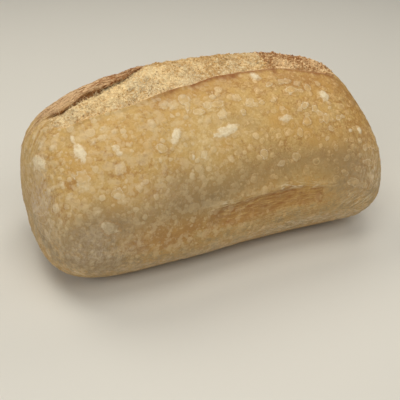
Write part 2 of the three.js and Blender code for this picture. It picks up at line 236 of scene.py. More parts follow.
# Where each look lies across the score, in spots of its slice: starts, is whole, starts to end, has ended.
TORN_SPOTS = (2.6, 3.2, 8.6, 9.6)
HOLLOW_SPOTS = (8.6, 9.6, 10.2, 11.0)
EAR_SPOTS = (10.2, 11.0, 14.2, 15.6)
STRAND_SPOTS = (10.2, 10.8, 14.6, 15.6)
THREAD_SPOTS = (6.2, 6.6, 7.1, 7.4)
THREAD_PLACES = (-0.8, -0.7, -0.4, -0.3)  # the same along the loaf: beside the raised ear
LIP_SPOT = 1.9
RIDGE_SPOT = 2.6
TOAST_START = (0.41, 0.445)  # place where the toasted end starts, at the lip and beyond it
TOAST_FADE = 0.006
BAND_END = (0.48, 0.53)  # place where the browned band below the ledge fades out


# ---------------------------------------------------------------- small tools

def ease(start, end, x):
    """0 before start, 1 from end on, smooth between them."""
    s = np.clip((x - start) / (end - start), 0, 1)
    return s * s * (3 - 2 * s)


def window(start, whole, ending, end, x):
    return ease(start, whole, x) * (1 - ease(ending, end, x))


def bell(x, middle, half):
    return np.exp(-((x - middle) / half) ** 2)


def mix(a, b, share):
    return a + (b - a) * share


def through(table, place):
    """A smooth value through a list of (place, value)."""
    value = np.full(np.shape(place), float(table[0][1]))
    for (a, low), (b, high) in zip(table[:-1], table[1:]):
        value = value + (high - low) * ease(a, b, place)
    return value


def unit(vectors):
    return vectors / np.linalg.norm(vectors, axis=-1, keepdims=True)


def by_side(place, pair):
    return np.where(place >= 0, pair["right"], pair["left"])


def superellipse(angle, power):
    c, s = np.abs(np.cos(angle)), np.abs(np.sin(angle))
    reach = (c ** power + s ** power) ** (-1 / power)
    return np.sign(np.cos(angle)) * reach * c, np.sign(np.sin(angle)) * reach * s


def size_at(place, roundness):
    return np.maximum(1 - np.abs(place) ** roundness, 0) ** (1 / roundness)


def cloud(grid, name):
    """Fractal noise over the skin, from about -1 to 1."""
    size, octaves, seed = CLOUDS[name]
    scaled = grid["skin"] / np.asarray(size, float) + seed
    values = [noise.fractal(p, 0.9, 2.0, octaves) for p in scaled.reshape(-1, 3).tolist()]
    return np.reshape(values, scaled.shape[:-1])


# ---------------------------------------------------------------- the form, in millimetres

def station(angle):
    """A slice from its angle in the plan outline: place, share of the width, share of the height."""
    place, wide = superellipse(angle, by_side(np.cos(angle), PLAN_ROUNDNESS))
    return place, wide, size_at(place, by_side(place, SIDE_ROUNDNESS))


def station_near(place):
    return place, *(size_at(place, by_side(place, power)) for power in (PLAN_ROUNDNESS, SIDE_ROUNDNESS))


def pressed_flat(z):
    soft = (z + BASE_ROUNDING_MM) ** 2 / (4 * BASE_ROUNDING_MM)
    return np.where(z >= BASE_ROUNDING_MM, z, np.where(z <= -BASE_ROUNDING_MM, 0, soft))


def skin_point(place, wide, tall, turn):
    """A point of the smooth loaf; turn is round in radians."""
    upper = np.sin(turn) >= 0
    across, up = superellipse(turn, np.where(upper, CROWN_ROUNDNESS, BELLY_ROUNDNESS))
    crown = CROWN_HEIGHT_MM * (1 + TALLER_TO_THE_RIGHT * place) * (1 - CROWN_DROP_AT_TIPS * place ** 2)
    x = HALF_LENGTH_MM * place + 0 * turn
    y = (-HALF_WIDTH_MM * wide * across * (1 + WIDER_TO_THE_RIGHT * place)
         - BOW_TOWARDS_NEAR * HALF_LENGTH_MM * place ** 2)
    z = np.where(upper, crown, BELLY_DEPTH_MM) * tall * up + WIDEST_LEVEL_MM
    return np.stack([x, y, z], -1)


def skin_normal(angle, turn):
    """The way out of the smooth loaf, from small steps across it and along it."""
    step = 1e-3
    across = skin_point(*station(angle), turn + step) - skin_point(*station(angle), turn - step)
    before = station(np.maximum(angle - step, step / 10))
    after = station(np.minimum(angle + step, np.pi - step / 10))
    normal = np.cross(across, skin_point(*after, turn) - skin_point(*before, turn))
    return normal / np.maximum(np.linalg.norm(normal, axis=-1, keepdims=True), 1e-12)


def below_ledge(place, turn):
    """How far a point lies below the ledge's ridge, in millimetres round the slice."""
    return (np.radians(through(LEDGE_RIDGE_ROUND, place)) - turn) * HALF_WIDTH_MM


def ledge_reach(place):
    start, end, fade = LEDGE["from"], LEDGE["to"], LEDGE["fade"]
    return window(start, start + fade, end - fade, end, place)


def ledge_relief(place, turn):
    below = below_ledge(place, turn)
    ridge = LEDGE["ridge_high"] * bell(below, 0, LEDGE["ridge_half"])
    sunk = LEDGE["sunk"] * window(0, LEDGE["sunk_from"], LEDGE["sunk_to"] * 0.6, LEDGE["sunk_to"], below)
    return ledge_reach(place) * (ridge - sunk)


def swelling_relief(skin):
    high = np.zeros(skin.shape[:-1])
    for place, degrees, reach, height in SWELLINGS:
        middle = skin_point(*station_near(np.float64(place)), np.radians(degrees))
        high += height * np.exp(-((skin - middle) ** 2).sum(-1) / reach ** 2)
    return high


def wave_relief(place, turn):
    return sum(height * np.sin(frequency * place + phase) * np.cos(turns * turn + phase * frequency)
               for height, frequency, turns, phase in WAVES)


def torn_relief(x, across, place):
    """Lumps of the torn crumb, and sharper crags where it is toasted."""
    lumps = np.sin(0.42 * x + 1.7 * np.sin(0.29 * across)) * np.sin(0.5 * across + 1.3 * np.sin(0.21 * x))
    crags = np.sin(1.13 * x + 2 * np.sin(0.61 * across)) * np.sin(0.97 * across + 2 * np.sin(0.53 * x))
    toasted = ease(CRAG_START, CRAG_START + CRAG_FADE, place)
    return mix(CRUMB_LUMP_MM * lumps, CRAG_HEIGHT_MM * (0.4 + 0.6 * crags), toasted)


def slice_at(spot):
    """The score's slice at spots of its table: its smooth values, and how far the ear scales it."""
    last = len(SCORE_SLICE) - 1
    i = np.minimum(spot.astype(int), last - 1)
    s = (spot - i)[:, None]
    before, a, b, after = (SCORE_SLICE[np.clip(i + n, 0, last)] for n in (-1, 0, 1, 2))
    slope_a, slope_b = (b - before) / 2, (after - a) / 2
    smooth = (2 * a - 2 * b + slope_a + slope_b) * s ** 3
    smooth += (3 * b - 3 * a - 2 * slope_a - slope_b) * s ** 2 + slope_a * s + a
    smooth[:, 4] = mix(a[:, 4], b[:, 4], s[:, 0])
    return smooth


def score_columns(place, tall, spot):
    """Round (radians) and height (mm) of the score's columns, a row for each slice."""
    share, shut, opened, height, by_ear = slice_at(spot).T
    place, tall = place[:, None], tall[:, None]
    girth = CROWN_HEIGHT_MM * np.maximum(tall, LEAST_GIRTH)
    ear, crumb = through(EAR_STRENGTH, place), through(CRUMB_STRENGTH, place)
    across = share * np.radians(through(OPENING, place)) * girth + mix(shut, opened, ear)
    across = across + LEAN_BACK_MM * window(*LEAN_BACK_PLACES, place) * window(*LEAN_BACK_SPOTS, spot)
    hollow = mix(*HOLLOW_DEPTHS, ease(*HOLLOW_CLOSES, place))
    high = np.where(by_ear > 0.5, np.maximum(height, 0) + np.minimum(height, 0) * hollow, height)
    high = high * mix(crumb, ear, by_ear)
    in_crumb = window(*CRUMB_SHARES, share)
    high = high + in_crumb * crumb * torn_relief(HALF_LENGTH_MM * place, across, place)
    return np.radians(through(LIP_ROUND, place)) + across / girth, high


# ---------------------------------------------------------------- the fine grid

def even_angles(count):
    """Plan angles of slices that lie evenly spaced round the outline, without the two tips."""
    fine = np.linspace(0, np.pi, OUTLINE_STEPS)
    line = skin_point(*station(fine), np.zeros_like(fine))
    lengths = np.concatenate([[0], np.cumsum(np.linalg.norm(np.diff(line, axis=0), axis=1))])
    return np.interp(np.arange(1, count) / count * lengths[-1], lengths, fine)


def stretch(stops, edge):
    """Columns between stops, a row for each slice; None in a stop is the score's edge."""
    columns = []
    for (start, a), (end, b) in zip(stops[:-1], stops[1:]):
        a, b = (edge if v is None else np.full_like(edge, np.radians(v)) for v in (a, b))
        share = np.arange(end - start) / (end - start)
        columns.append(mix(a[:, None], b[:, None], share[None]))
    return np.concatenate(columns, axis=1)


def loaf_grid():
    """Arrays with a row for each slice and a column for each place round it."""
    angle = even_angles(SLICES)
    place, wide, tall = station(angle)
    spot = [i + np.arange(count) / count for i, count in enumerate(SCORE_COLUMNS)]
    spot = np.concatenate([*spot, [len(SCORE_COLUMNS)]])
    score, score_high = score_columns(place, tall, spot)
    near = stretch(NEAR_STOPS, score[:, 0])
    far = stretch(FAR_STOPS, score[:, -1])[:, 1:]
    turn = np.concatenate([near, score, far], axis=1)
    high = np.concatenate([0 * near, score_high, 0 * far], axis=1)
    spot = np.concatenate([0 * near - 1, spot + 0 * score, 0 * far + len(SCORE_SLICE)], axis=1)

    place, wide, tall, angle = (np.broadcast_to(v[:, None], turn.shape) for v in (place, wide, tall, angle))
    settled = ease(*SETTLED, wide)
    even = np.radians(np.linspace(-90, 270, turn.shape[1], endpoint=False))[None]
    turn = mix(even, turn, settled)
    skin = skin_point(place, wide, tall, turn)
    clear = ease(RELIEF_FROM_MM, RELIEF_FULL_MM, skin[..., 2]) * ease(*CLEAR_OF_TIPS, wide)
    soft_relief = ledge_relief(place, turn) + swelling_relief(skin) + wave_relief(place, turn)
    return {"place": place, "turn": turn, "spot": spot, "settled": settled, "skin": skin, "clear": clear,
            "normal": skin_normal(angle, turn), "relief": high * settled + clear * soft_relief}


def offsets(grid, place, middle):
    """How far each point lies from a place on the crust, in mm along the loaf and round it."""
    return (grid["place"] - place) * HALF_LENGTH_MM, (grid["turn"] - np.radians(middle)) * HALF_WIDTH_MM


def leaned(along, up, lean):
    c, s = np.cos(np.radians(lean)), np.sin(np.radians(lean))
    return along * c + up * s, up * c - along * s


def patch_sum(grid, patches):
    """Soft patches on the crust: each fades from its middle over its reach."""
    total = np.zeros(grid["place"].shape)
    for place, middle, reach_along, reach_up, strength in patches:
        along, up = offsets(grid, place, middle)
        total += strength * bell(along, 0, reach_along) * bell(up, 0, reach_up)
    return total


def fold_fields(grid):
    """Where the fine folds lie and how strongly: the pattern's own place, and a mask from 0 to 1."""
    layers = []
    for number, (place, middle, reach_along, reach_up, lean, strength) in enumerate(FOLDS):
        run, cross = leaned(*offsets(grid, place, middle), lean)
        fade = patch_sum(grid, [(place, middle, reach_along, reach_up, strength)])
        layers.append((fade, run, cross / FOLD_SPACING_MM, FOLD_SEED_STEP * number))
    below = below_ledge(grid["place"], grid["turn"])
    broken = mix(LEDGE_FOLDS["least"], 1, ease(-0.15, 0.2, cloud(grid, "broken ridge")))
    fade = ledge_reach(grid["place"]) * bell(below, -LEDGE_FOLDS["above"], LEDGE_FOLDS["half"]) * broken
    layers.append((fade, grid["skin"][..., 0], below / LEDGE_FOLD_SPACING_MM, 0))
    mask, place_in_folds = np.zeros(below.shape), np.zeros((*below.shape, 3))
    for fade, run, cross, seed in layers:
        stronger = fade > mask
        place_in_folds[stronger] = np.stack([run / FOLD_LENGTH_MM, cross, 0 * run + seed], -1)[stronger]
        mask = np.maximum(fade, mask)
    return place_in_folds, mask


def placed_blisters():
    """Every blister that has its own place: place, round, half sizes, lean, whiteness and rim."""
    for *form, whiteness in PALE_BLISTERS:
        yield (*form, whiteness, BOLD_RIM) if whiteness > BOLD else (*form, FAINTER * whiteness, FAINT_RIM)
    for place, middle, radius in SMALL_BLISTERS:
        rim = mix(*SMALL_RIM, ease(-0.8, 0.3, place))
        yield place, middle, radius, radius * SMALL_FLATNESS, SMALL_LEAN, SMALL_WHITENESS, rim


def placed_blister_fields(grid):
    """How far inside a blister a point is (1 in the middle, 0 well outside), its whiteness and its rim."""
    inside, white, rim = np.zeros((3, *grid["place"].shape))
    for place, middle, half_along, half_up, lean, whiteness, edge in placed_blisters():
        run, cross = leaned(*offsets(grid, place, middle), lean)
        near = np.clip(1 - np.hypot(run / half_along, cross / half_up) / BLISTER_FADE, 0, 1)
        nearest = near > inside
        white[nearest], rim[nearest] = whiteness, edge
        inside = np.maximum(inside, near)
    return {"inside": inside, "whiteness": white, "rim": rim}


def surface_masks(grid):
    """Where the crust is torn, toasted, stretched and edged; each from 0 to 1."""
    spot, place = grid["spot"], grid["place"]
    score = grid["settled"] * ((spot >= 0) & (spot < len(SCORE_SLICE)))
    crumb = through(CRUMB_STRENGTH, place)
    ear = score * ease(0.05, 0.6, through(EAR_STRENGTH, place))
    torn = score * ease(0.1, 0.6, crumb) * window(*TORN_SPOTS, spot)
    # under is where the hollow under the ear is painted with its shade; raised is the ear itself.
    under, raised = ear * window(*HOLLOW_SPOTS, spot), ear * window(*EAR_SPOTS, spot)
    stretched = np.clip(patch_sum(grid, STRETCHED), 0, 1) * (1 - torn)
    stretched = stretched * np.where(spot < 0, 1, ease(10, 11, spot))
    # The baked edge: a thin wavy line, wider and glowing at the left, and a pale ridge beyond it.
    edge = score * ease(0.2, 0.9, crumb) * ease(-0.5, -0.12, place)
    wide = 0.6 * bell(spot, 0.9, 1.0) * (1 - 0.6 * ease(0.0, 0.3, place))
    thin = mix(1.0, 0.75, ease(0.05, 0.25, place))
    lip = edge * np.maximum(bell(spot + 0.8 * cloud(grid, "wavy lip"), LIP_SPOT, thin), 0.3 * wide)
    ridge = edge * ease(0.1, 0.3, place) * bell(spot, RIDGE_SPOT, 0.6)
    # The toasted end has a ragged start, darkest just inside it.
    ragged = cloud(grid, "ragged edge")
    from_lip = ease(3, 6.5, spot)
    start = mix(*TOAST_START, from_lip) + 0.012 * (1 + 2.5 * ease(7, 10, spot)) * ragged
    toast = ease(start - TOAST_FADE, start + TOAST_FADE, place) * mix(0.6, 1, from_lip)
    scorch = bell(place, start + 0.025, 0.03) * from_lip
    # The browned band below the ledge.
    below = below_ledge(place, grid["turn"]) + 1.2 * ragged
    band = ease(LEDGE["from"], LEDGE["from"] + 0.16, place) * (1 - ease(*BAND_END, place + 0.02 * ragged))
    band = band * window(-0.5, 1.0, 10, 17, below)
    # The far side of the crumb is darker from the middle on, and paler to the left of it.
    upper = ease(4.0, 7.0, spot) * ease(-0.4, -0.05, place) - 0.6 * (1 - ease(-0.4, -0.1, place))
    upper = upper * (1 - toast) - 0.9 * (1 - ease(4.5, 6.5, spot)) * bell(place, -0.3, 0.2)
    ear = np.maximum.reduce([under, raised, stretched])
    return {"torn": torn, "under": under, "ear": ear, "lip": lip, "ridge": ridge, "toast": toast,
            "scorch": scorch, "band": band, "glow": edge * wide, "upper": upper}


@cache
def finished_grid():
    """The finished crust: the grid, its points in metres, and the fields that the crust's material reads."""
    surface = bpy.context.scene.loaf_surface
    grid = loaf_grid()
    masks = surface_masks(grid)
    fields = {**masks, **placed_blister_fields(grid)}
    torn, ear, toast = masks["torn"], masks["ear"], masks["toast"]
    on_crust = 1 - np.maximum(torn, ear)
    # The streaks raise the ear's relief and also paint its strands lighter on top and darker in the grooves,
    # partly as painted highlight and painted shade.
    streaks = np.clip(0.5 + 0.8 * (cloud(grid, "long streaks") + 0.6 * cloud(grid, "short streaks")), 0, 1)
    place_in_folds, fold = fold_fields(grid)
    blisters, creases = patterns_on(grid["skin"], place_in_folds)

    raised = np.maximum(fields["whiteness"], fields["rim"]) * ease(0.35, 0.65, fields["inside"]) * on_crust
    lumps = surface.crumb_roughness / MM * cloud(grid, "lumps") * (1 + toast) + 0.5 * cloud(grid, "tears")
    fine = surface.blister_height / MM * blisters * on_crust * grid["clear"]
    fine += surface.pale_height / MM * raised
    fine += surface.streak_height / MM * ear * (streaks - 0.5)
    fine += torn * lumps
    fine += surface.fold_height / MM * (creases - 0.3) * fold * on_crust
    points = grid["skin"] + grid["normal"] * (grid["relief"] + fine)[..., None]
    points[..., 2] = pressed_flat(points[..., 2])

    fields.update(streak=streaks, fold=fold, browning=0.4 + patch_sum(grid, BROWN_PATCHES))
    # The painted shade patches, and the flour.
    fields["dullness"], fields["flour"] = (np.clip(patch_sum(grid, patches), 0, 1)
                                           for patches in (PAINTED_SHADE_PATCHES, FLOUR_PATCHES))
    fields = {name: fields[name] for name in CRUST_FIELDS}
    fields.update({SKIN_MAP: grid["skin"], FOLD_MAP: place_in_folds})
    return {**grid, "points": (points - BOX_MIDDLE_MM) * MM, "masks": masks, "fields": fields}


# ---------------------------------------------------------------- meshes and pieces

def grid_faces(rows, columns):
    """Quads of the grid, and the fans of triangles that close the two tips."""
    at = 1 + np.arange(rows * columns).reshape(rows, columns)
    across = np.roll(at, -1, axis=1)
    quads = np.stack([at[:-1], across[:-1], across[1:], at[1:]], -1).reshape(-1, 4)
    last = 1 + rows * columns
    right = np.stack([np.zeros(columns, int), across[0], at[0]], -1)
    left = np.stack([np.full(columns, last), at[-1], across[-1]], -1)
    return quads, np.concatenate([right, left])


def make_mesh(name, points, quads, triangles):
    """A mesh in metres from arrays of points, quads and triangles."""
    mesh = bpy.data.meshes.new(name)
    sizes = np.concatenate([np.full(len(quads), 4), np.full(len(triangles), 3)])
    corners = np.concatenate([np.ravel(quads), np.ravel(triangles)]).astype(np.int32)
    mesh.vertices.add(len(points))
    mesh.vertices.foreach_set("co", np.ravel(points).astype(np.float32))
    mesh.loops.add(len(corners))
    mesh.loops.foreach_set("vertex_index", corners)
    mesh.polygons.add(len(sizes))
    starts = np.concatenate([[0], np.cumsum(sizes)[:-1]])
    mesh.polygons.foreach_set("loop_start", starts.astype(np.int32))
    mesh.update(calc_edges=True)
    mesh.validate()
    mesh.shade_smooth()
    return mesh


def set_field(mesh, name, values):
    """Stores one value or one vector a point, for the materials to read."""
    values = np.asarray(values, np.float32)
    kind, field = ("FLOAT", "value") if values.ndim == 1 else ("FLOAT_VECTOR", "vector")
    attribute = mesh.attributes.new(name, kind, "POINT")
    attribute.data.foreach_set(field, np.ravel(values))


def add_object(name, data):
    thing = bpy.data.objects.new(name, data)
    bpy.context.scene.collection.objects.link(thing)
    return thing


def add_piece(name, mesh):
    piece = add_object(name, mesh)
    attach(piece, BODY)
    return piece


# ---------------------------------------------------------------- node tools

class Nodes:
    """Adds nodes to one tree. Each input is a value, or the socket that feeds it."""

    def __init__(self, tree, colours=None):
        self.tree, self.colours = tree, colours

    def feed(self, socket, value):
        if isinstance(value, bpy.types.NodeSocket):
            self.tree.links.new(value, socket)
        else:
            socket.default_value = value

    def put(self, kind, inputs=None, **settings):
        node = self.tree.nodes.new(kind)
        for name, value in settings.items():
            setattr(node, name, value)
        for name, value in (inputs or {}).items():
            self.feed(node.inputs[name], value)
        return node

    def use(self, group, place):
        return self.put("ShaderNodeGroup", {"Place": place}, node_tree=group).outputs

    def calc(self, operation, a, b=0.0, clamp=False):
        return self.put("ShaderNodeMath", {0: a, 1: b}, operation=operation, use_clamp=clamp).outputs[0]

    def plus(self, *values):
        return reduce(partial(self.calc, "ADD"), values)

    def times(self, *values):
        return reduce(partial(self.calc, "MULTIPLY"), values)

    def larger(self, a, b):
        return self.calc("MAXIMUM", a, b)

    def remap(self, value, low, high, to_low=0.0, to_high=1.0, kind="SMOOTHSTEP"):
        inputs = {"Value": value, "From Min": low, "From Max": high, "To Min": to_low, "To Max": to_high}
        return self.put("ShaderNodeMapRange", inputs, interpolation_type=kind).outputs["Result"]

    def around(self, value, middle, reach):
        """1 where a value is at the middle, 0 from the reach on."""
        return self.remap(self.calc("ABSOLUTE", self.calc("SUBTRACT", value, middle)), 0.0, reach, 1.0, 0.0)

    def blend(self, a, b, share):
        return self.put("ShaderNodeMix", {0: share, 2: a, 3: b}, data_type="FLOAT").outputs[0]

    def tint(self, share, a, b):
        """Colour a turned into colour b by share; a colour is a socket, or its name in the settings."""
        a, b = (self.colours[colour] if isinstance(colour, str) else colour for colour in (a, b))
        node = self.put("ShaderNodeMix", {0: share, 6: a, 7: b}, data_type="RGBA", clamp_factor=True)
        return node.outputs[2]

    def vector(self, operation, a, b):
        return self.put("ShaderNodeVectorMath", {0: a, 1: b}, operation=operation).outputs[0]

    def split(self, vector):
        return self.put("ShaderNodeSeparateXYZ", {0: vector}).outputs

    def field(self, name, output="Fac"):
        return self.put("ShaderNodeAttribute", attribute_type="GEOMETRY", attribute_name=name).outputs[output]

    def grain(self, place, scale, detail=3.0, roughness=0.6, distortion=0.0, output=0):
        """Noise with so many grains a unit of place."""
        inputs = {"Vector": place, "Scale": scale, "Detail": detail, "Roughness": roughness,
                  "Distortion": distortion}
        return self.put("ShaderNodeTexNoise", inputs).outputs[output]

    def streaks(self, place, along, across, upright, detail=3.0, roughness=0.6, distortion=0.0):
        """Noise with its own number of grains a unit of place along each axis."""
        squeezed = self.vector("MULTIPLY", place, (along, across, upright))
        return self.grain(squeezed, 1.0, detail, roughness, distortion)

    def bump(self, layers):
        """A normal from layers of height, reach in metres and strength, each laid on the one before."""
        normal = None
        for height, reach, strength in layers:
            inputs = {"Height": height, "Distance": reach, "Strength": strength}
            if normal:
                inputs["Normal"] = normal
            normal = self.put("ShaderNodeBump", inputs).outputs[0]
        return normal


def new_group(name, inputs, outputs, kind="ShaderNodeTree"):
    """A node group's nodes, what is given to it and what it gives; each name has its type of socket."""
    tree = bpy.data.node_groups.new(name, kind)
    for sockets, way in ((inputs, "INPUT"), (outputs, "OUTPUT")):
        for socket_name, socket_kind in sockets.items():
            tree.interface.new_socket(socket_name, in_out=way, socket_type="NodeSocket" + socket_kind)
    n = Nodes(tree)
    return n, n.put("NodeGroupInput").outputs, n.put("NodeGroupOutput").inputs


def pattern_group(name, outputs, pattern):
    """A shader group that turns a place on the skin into the values of a pattern."""
    n, given, out = new_group(name, {"Place": "Vector"}, dict.fromkeys(outputs, "Float"))
    for output, value in zip(outputs, pattern(n, given["Place"])):
        n.feed(out[output], value)
    return n.tree


# ---------------------------------------------------------------- patterns

# Layers of small blisters: cells a millimetre, least and most radius in cells, share of empty cells, height.
BLISTER_LAYERS = [(0.13, 0.24, 0.5, 0.4, 1.0), (0.21, 0.24, 0.5, 0.15, 0.85), (0.34, 0.22, 0.46, 0.15, 0.7),
                  (0.7, 0.2, 0.42, 0.4, 0.35)]
BLISTER_FREEDOM = 0.8  # how freely the middles of the blisters lie in their cells
BLISTER_BENDS = [(0.12, 3.0), (0.5, 1.1)]  # what bends the cells: grain a millimetre, and reach in mm
BLISTER_RIM = (0.84, 0.18)  # where the rim is brightest and how far it reaches, in the blister's radii
BLISTER_GAP = (1.12, 0.2)  # the same for the brown gap round it
CREASE_HALF = 0.07  # how far from the middle of its noise a crease reaches
PORE_SHARE = 0.3  # share of the crumb's cells that hold a pore


def bend_place(n, place):
    for scale, reach in BLISTER_BENDS:
        bend = n.vector("SUBTRACT", n.grain(place, scale, 2.0, 0.5, output="Color"), (0.5, 0.5, 0.5))
        place = n.vector("ADD", place, n.vector("MULTIPLY", bend, (reach, reach, reach)))
    return place


def blister_nodes(n, place):
    """Small round blisters, in a shader and on a mesh alike: their height, rim, tone and gap."""
    bent = bend_place(n, place)
    layers = []
    for scale, small, large, empty, high in BLISTER_LAYERS:
        inputs = {"Vector": bent, "Scale": scale, "Randomness": BLISTER_FREEDOM}
        cells = n.put("ShaderNodeTexVoronoi", inputs).outputs
        size, filled, tone = n.split(cells["Color"])
        depth = n.calc("DIVIDE", cells["Distance"], n.remap(size, 0.0, 1.0, small, large, "LINEAR"))
        high = n.times(n.calc("GREATER_THAN", filled, empty), high)
        disc = n.times(n.remap(depth, 0.7, 1.02, 1.0, 0.0), tone)
        looks = (n.remap(depth, 0.3, 1.1, 1.0, 0.0), n.around(depth, *BLISTER_RIM), disc,
                 n.around(depth, *BLISTER_GAP))
        layers.append([n.times(look, high) for look in looks])
    return [reduce(n.larger, look) for look in zip(*layers)]


def crease_nodes(n, place_in_folds):
    """Thin raised creases, in a shader and on a mesh alike."""
    return n.around(n.grain(place_in_folds, 1.0, 2.5, 0.55), 0.5, CREASE_HALF)


def crumb_grain_nodes(n, place):
    """The grain of torn crumb: a cream and gold speckle, duller zones, dark pores and the bump of it all."""
    fine, coarse = n.grain(place, 0.6, 3.0, 0.65), n.grain(place, 0.08, 3.0, 0.55)
    cells = n.put("ShaderNodeTexVoronoi", {"Vector": place, "Scale": 0.4}).outputs
    has_pore = n.calc("GREATER_THAN", n.split(cells["Color"])[0], 1 - PORE_SHARE)
    pore = n.times(n.remap(cells["Distance"], 0.12, 0.28, 1.0, 0.0), has_pore)
    speck = n.remap(n.blend(fine, coarse, 0.4), 0.42, 0.58)
    zone = n.remap(n.grain(place, 0.045), 0.46, 0.6, 0.0, 0.7)
    return speck, zone, pore, n.calc("SUBTRACT", fine, n.times(pore, 0.5))


@cache
def blister_group():
    return pattern_group("Small blisters", ("Height", "Rim", "Tone", "Gap"), blister_nodes)


@cache
def crumb_grain_group():
    return pattern_group("Crumb grain", ("Speck", "Zone", "Pore", "Bump"), crumb_grain_nodes)


def patterns_on(skin, folds):
    """The height of the blisters and of the creases at each point, from the materials' own nodes."""
    mesh = bpy.data.meshes.new("pattern_probe")
    mesh.vertices.add(skin[..., 0].size)
    mesh.vertices.foreach_set("co", np.ravel(skin * MM).astype(np.float32))
    set_field(mesh, SKIN_MAP, skin.reshape(-1, 3))
    set_field(mesh, FOLD_MAP, folds.reshape(-1, 3))
    piece = add_object("pattern_probe", mesh)
    sockets = {"Geometry": "Geometry"}
    n, given, out = new_group("Patterns on a mesh", sockets, sockets, "GeometryNodeTree")
    maps = [n.put("GeometryNodeInputNamedAttribute", {"Name": name}, data_type="FLOAT_VECTOR").outputs[0]
            for name in (SKIN_MAP, FOLD_MAP)]
    values = {"blister": blister_nodes(n, maps[0])[0], "crease": crease_nodes(n, maps[1])}
    geometry = given["Geometry"]
    for name, value in values.items():
        inputs = {"Geometry": geometry, "Name": name, "Value": value}
        store = n.put("GeometryNodeStoreNamedAttribute", inputs, data_type="FLOAT", domain="POINT")
        geometry = store.outputs[0]
    n.feed(out["Geometry"], geometry)
    piece.modifiers.new("patterns", "NODES").node_group = n.tree
    result = piece.evaluated_get(bpy.context.evaluated_depsgraph_get()).to_mesh()
    heights = np.empty((len(values), len(result.vertices)), np.float32)
    for name, height in zip(values, heights):
        result.attributes[name].data.foreach_get("value", height)
    bpy.data.objects.remove(piece)
    bpy.data.node_groups.remove(n.tree)
    bpy.data.meshes.remove(mesh)
    return heights.reshape(len(values), *skin.shape[:-1])


# ---------------------------------------------------------------- materials

CRUST_FIELDS = ("browning", "dullness", "flour", "band", "glow", "torn", "toast", "ear", "under", "lip",
                "ridge", "streak", "fold", "inside", "whiteness", "rim")


def new_material(name, roughness, specular):
    """A material with one shader, and the nodes that feed it."""
    material = bpy.data.materials.new(name)
    material.use_nodes = True
    settings = bpy.context.scene.loaf_colours
    colours = {name: tuple(getattr(settings, name)) for name in LoafColours.__annotations__}
    n = Nodes(material.node_tree, colours)
    n.tree.nodes.clear()
    shader = n.put("ShaderNodeBsdfPrincipled", {"Roughness": roughness, "Specular IOR Level": specular})
    n.put("ShaderNodeOutputMaterial", {"Surface": shader.outputs[0]}).location = (400, 0)
    return material, n, shader


def crust_places(n):
    """The fields of the crust, where a point lies on the loaf, and what several looks share."""
    on = SimpleNamespace(place=n.field(SKIN_MAP, "Vector"), **{name: n.field(name) for name in CRUST_FIELDS})
    on.x, _, on.z = n.split(on.place)
    on.right = n.remap(on.x, -40.0, 50.0)
    on.crust = n.calc("SUBTRACT", 1.0, n.larger(on.torn, on.ear), clamp=True)
    on.middle_grain, on.quick_grain = n.grain(on.place, 0.12), n.grain(on.place, 0.8)
    on.arcs = n.remap(n.grain(on.place, 0.25, 2.0, 0.5), 0.4, 0.6, 0.15, 1.0)
    on.tops = n.tint(on.right, "blister", "blister_gold")
    return on


def baked_skin(n, on):
    """Pale and golden clouds, browner in patches, painted darker and duller towards the base as painted
    shade, finely mottled.
    """
    heat = n.plus(n.times(n.grain(on.place, 0.035), 0.45), n.times(on.middle_grain, 0.55))
    heat = n.plus(n.remap(heat, 0.36, 0.64, 0.02, 0.5), on.browning)
    heat = n.plus(heat, n.remap(n.grain(on.place, 0.3), 0.3, 0.7, -0.22, 0.22))
    mottle = n.times(n.remap(on.quick_grain, 0.3, 0.7, -0.17, 0.17), n.blend(1.0, 1.7, on.right))
    heat = n.plus(heat, mottle, n.times(on.band, 0.75))
    clouds = n.grain(on.place, 0.05)
    warmth = n.times(n.remap(clouds, 0.5, 0.66, 0.0, 0.6), n.blend(1.0, 1.3, on.right))
    # Painted shade: darker towards the base, less where the crust is browner and a little less right at the
    # floor, plus the painted shade patches.
    low = n.times(n.remap(on.z, 80.0, 26.0), n.remap(heat, 0.3, 0.9, 0.8, 0.2),
                  n.remap(on.z, 2.0, 12.0, 0.7, 1.0))
    on.low = n.calc("ADD", low, on.dullness, clamp=True)
    colour = n.tint(n.remap(heat, 0.0, 0.5), "pale", "golden")
    colour = n.tint(n.remap(heat, 0.5, 1.25), colour, "brown")
    colour = n.tint(n.larger(warmth, on.glow), colour, "warm")
    colour = n.tint(n.remap(clouds, 0.34, 0.46, 0.2, 0.0), colour, "dull_and_shade")
    # Painted shade: the crust is painted towards the dull colour low down and in the painted shade patches.
    colour = n.tint(on.low, colour, "dull_and_shade")
    # The sunken band is streaked along.
    streaks = n.streaks(on.place, 0.12, 0.9, 0.9)
    colour = n.tint(n.times(on.band, n.remap(streaks, 0.5, 0.62, 0.0, 0.75)), colour, "lip")
    return n.tint(n.times(on.band, n.remap(streaks, 0.36, 0.46, 0.6, 0.0)), colour, "golden")


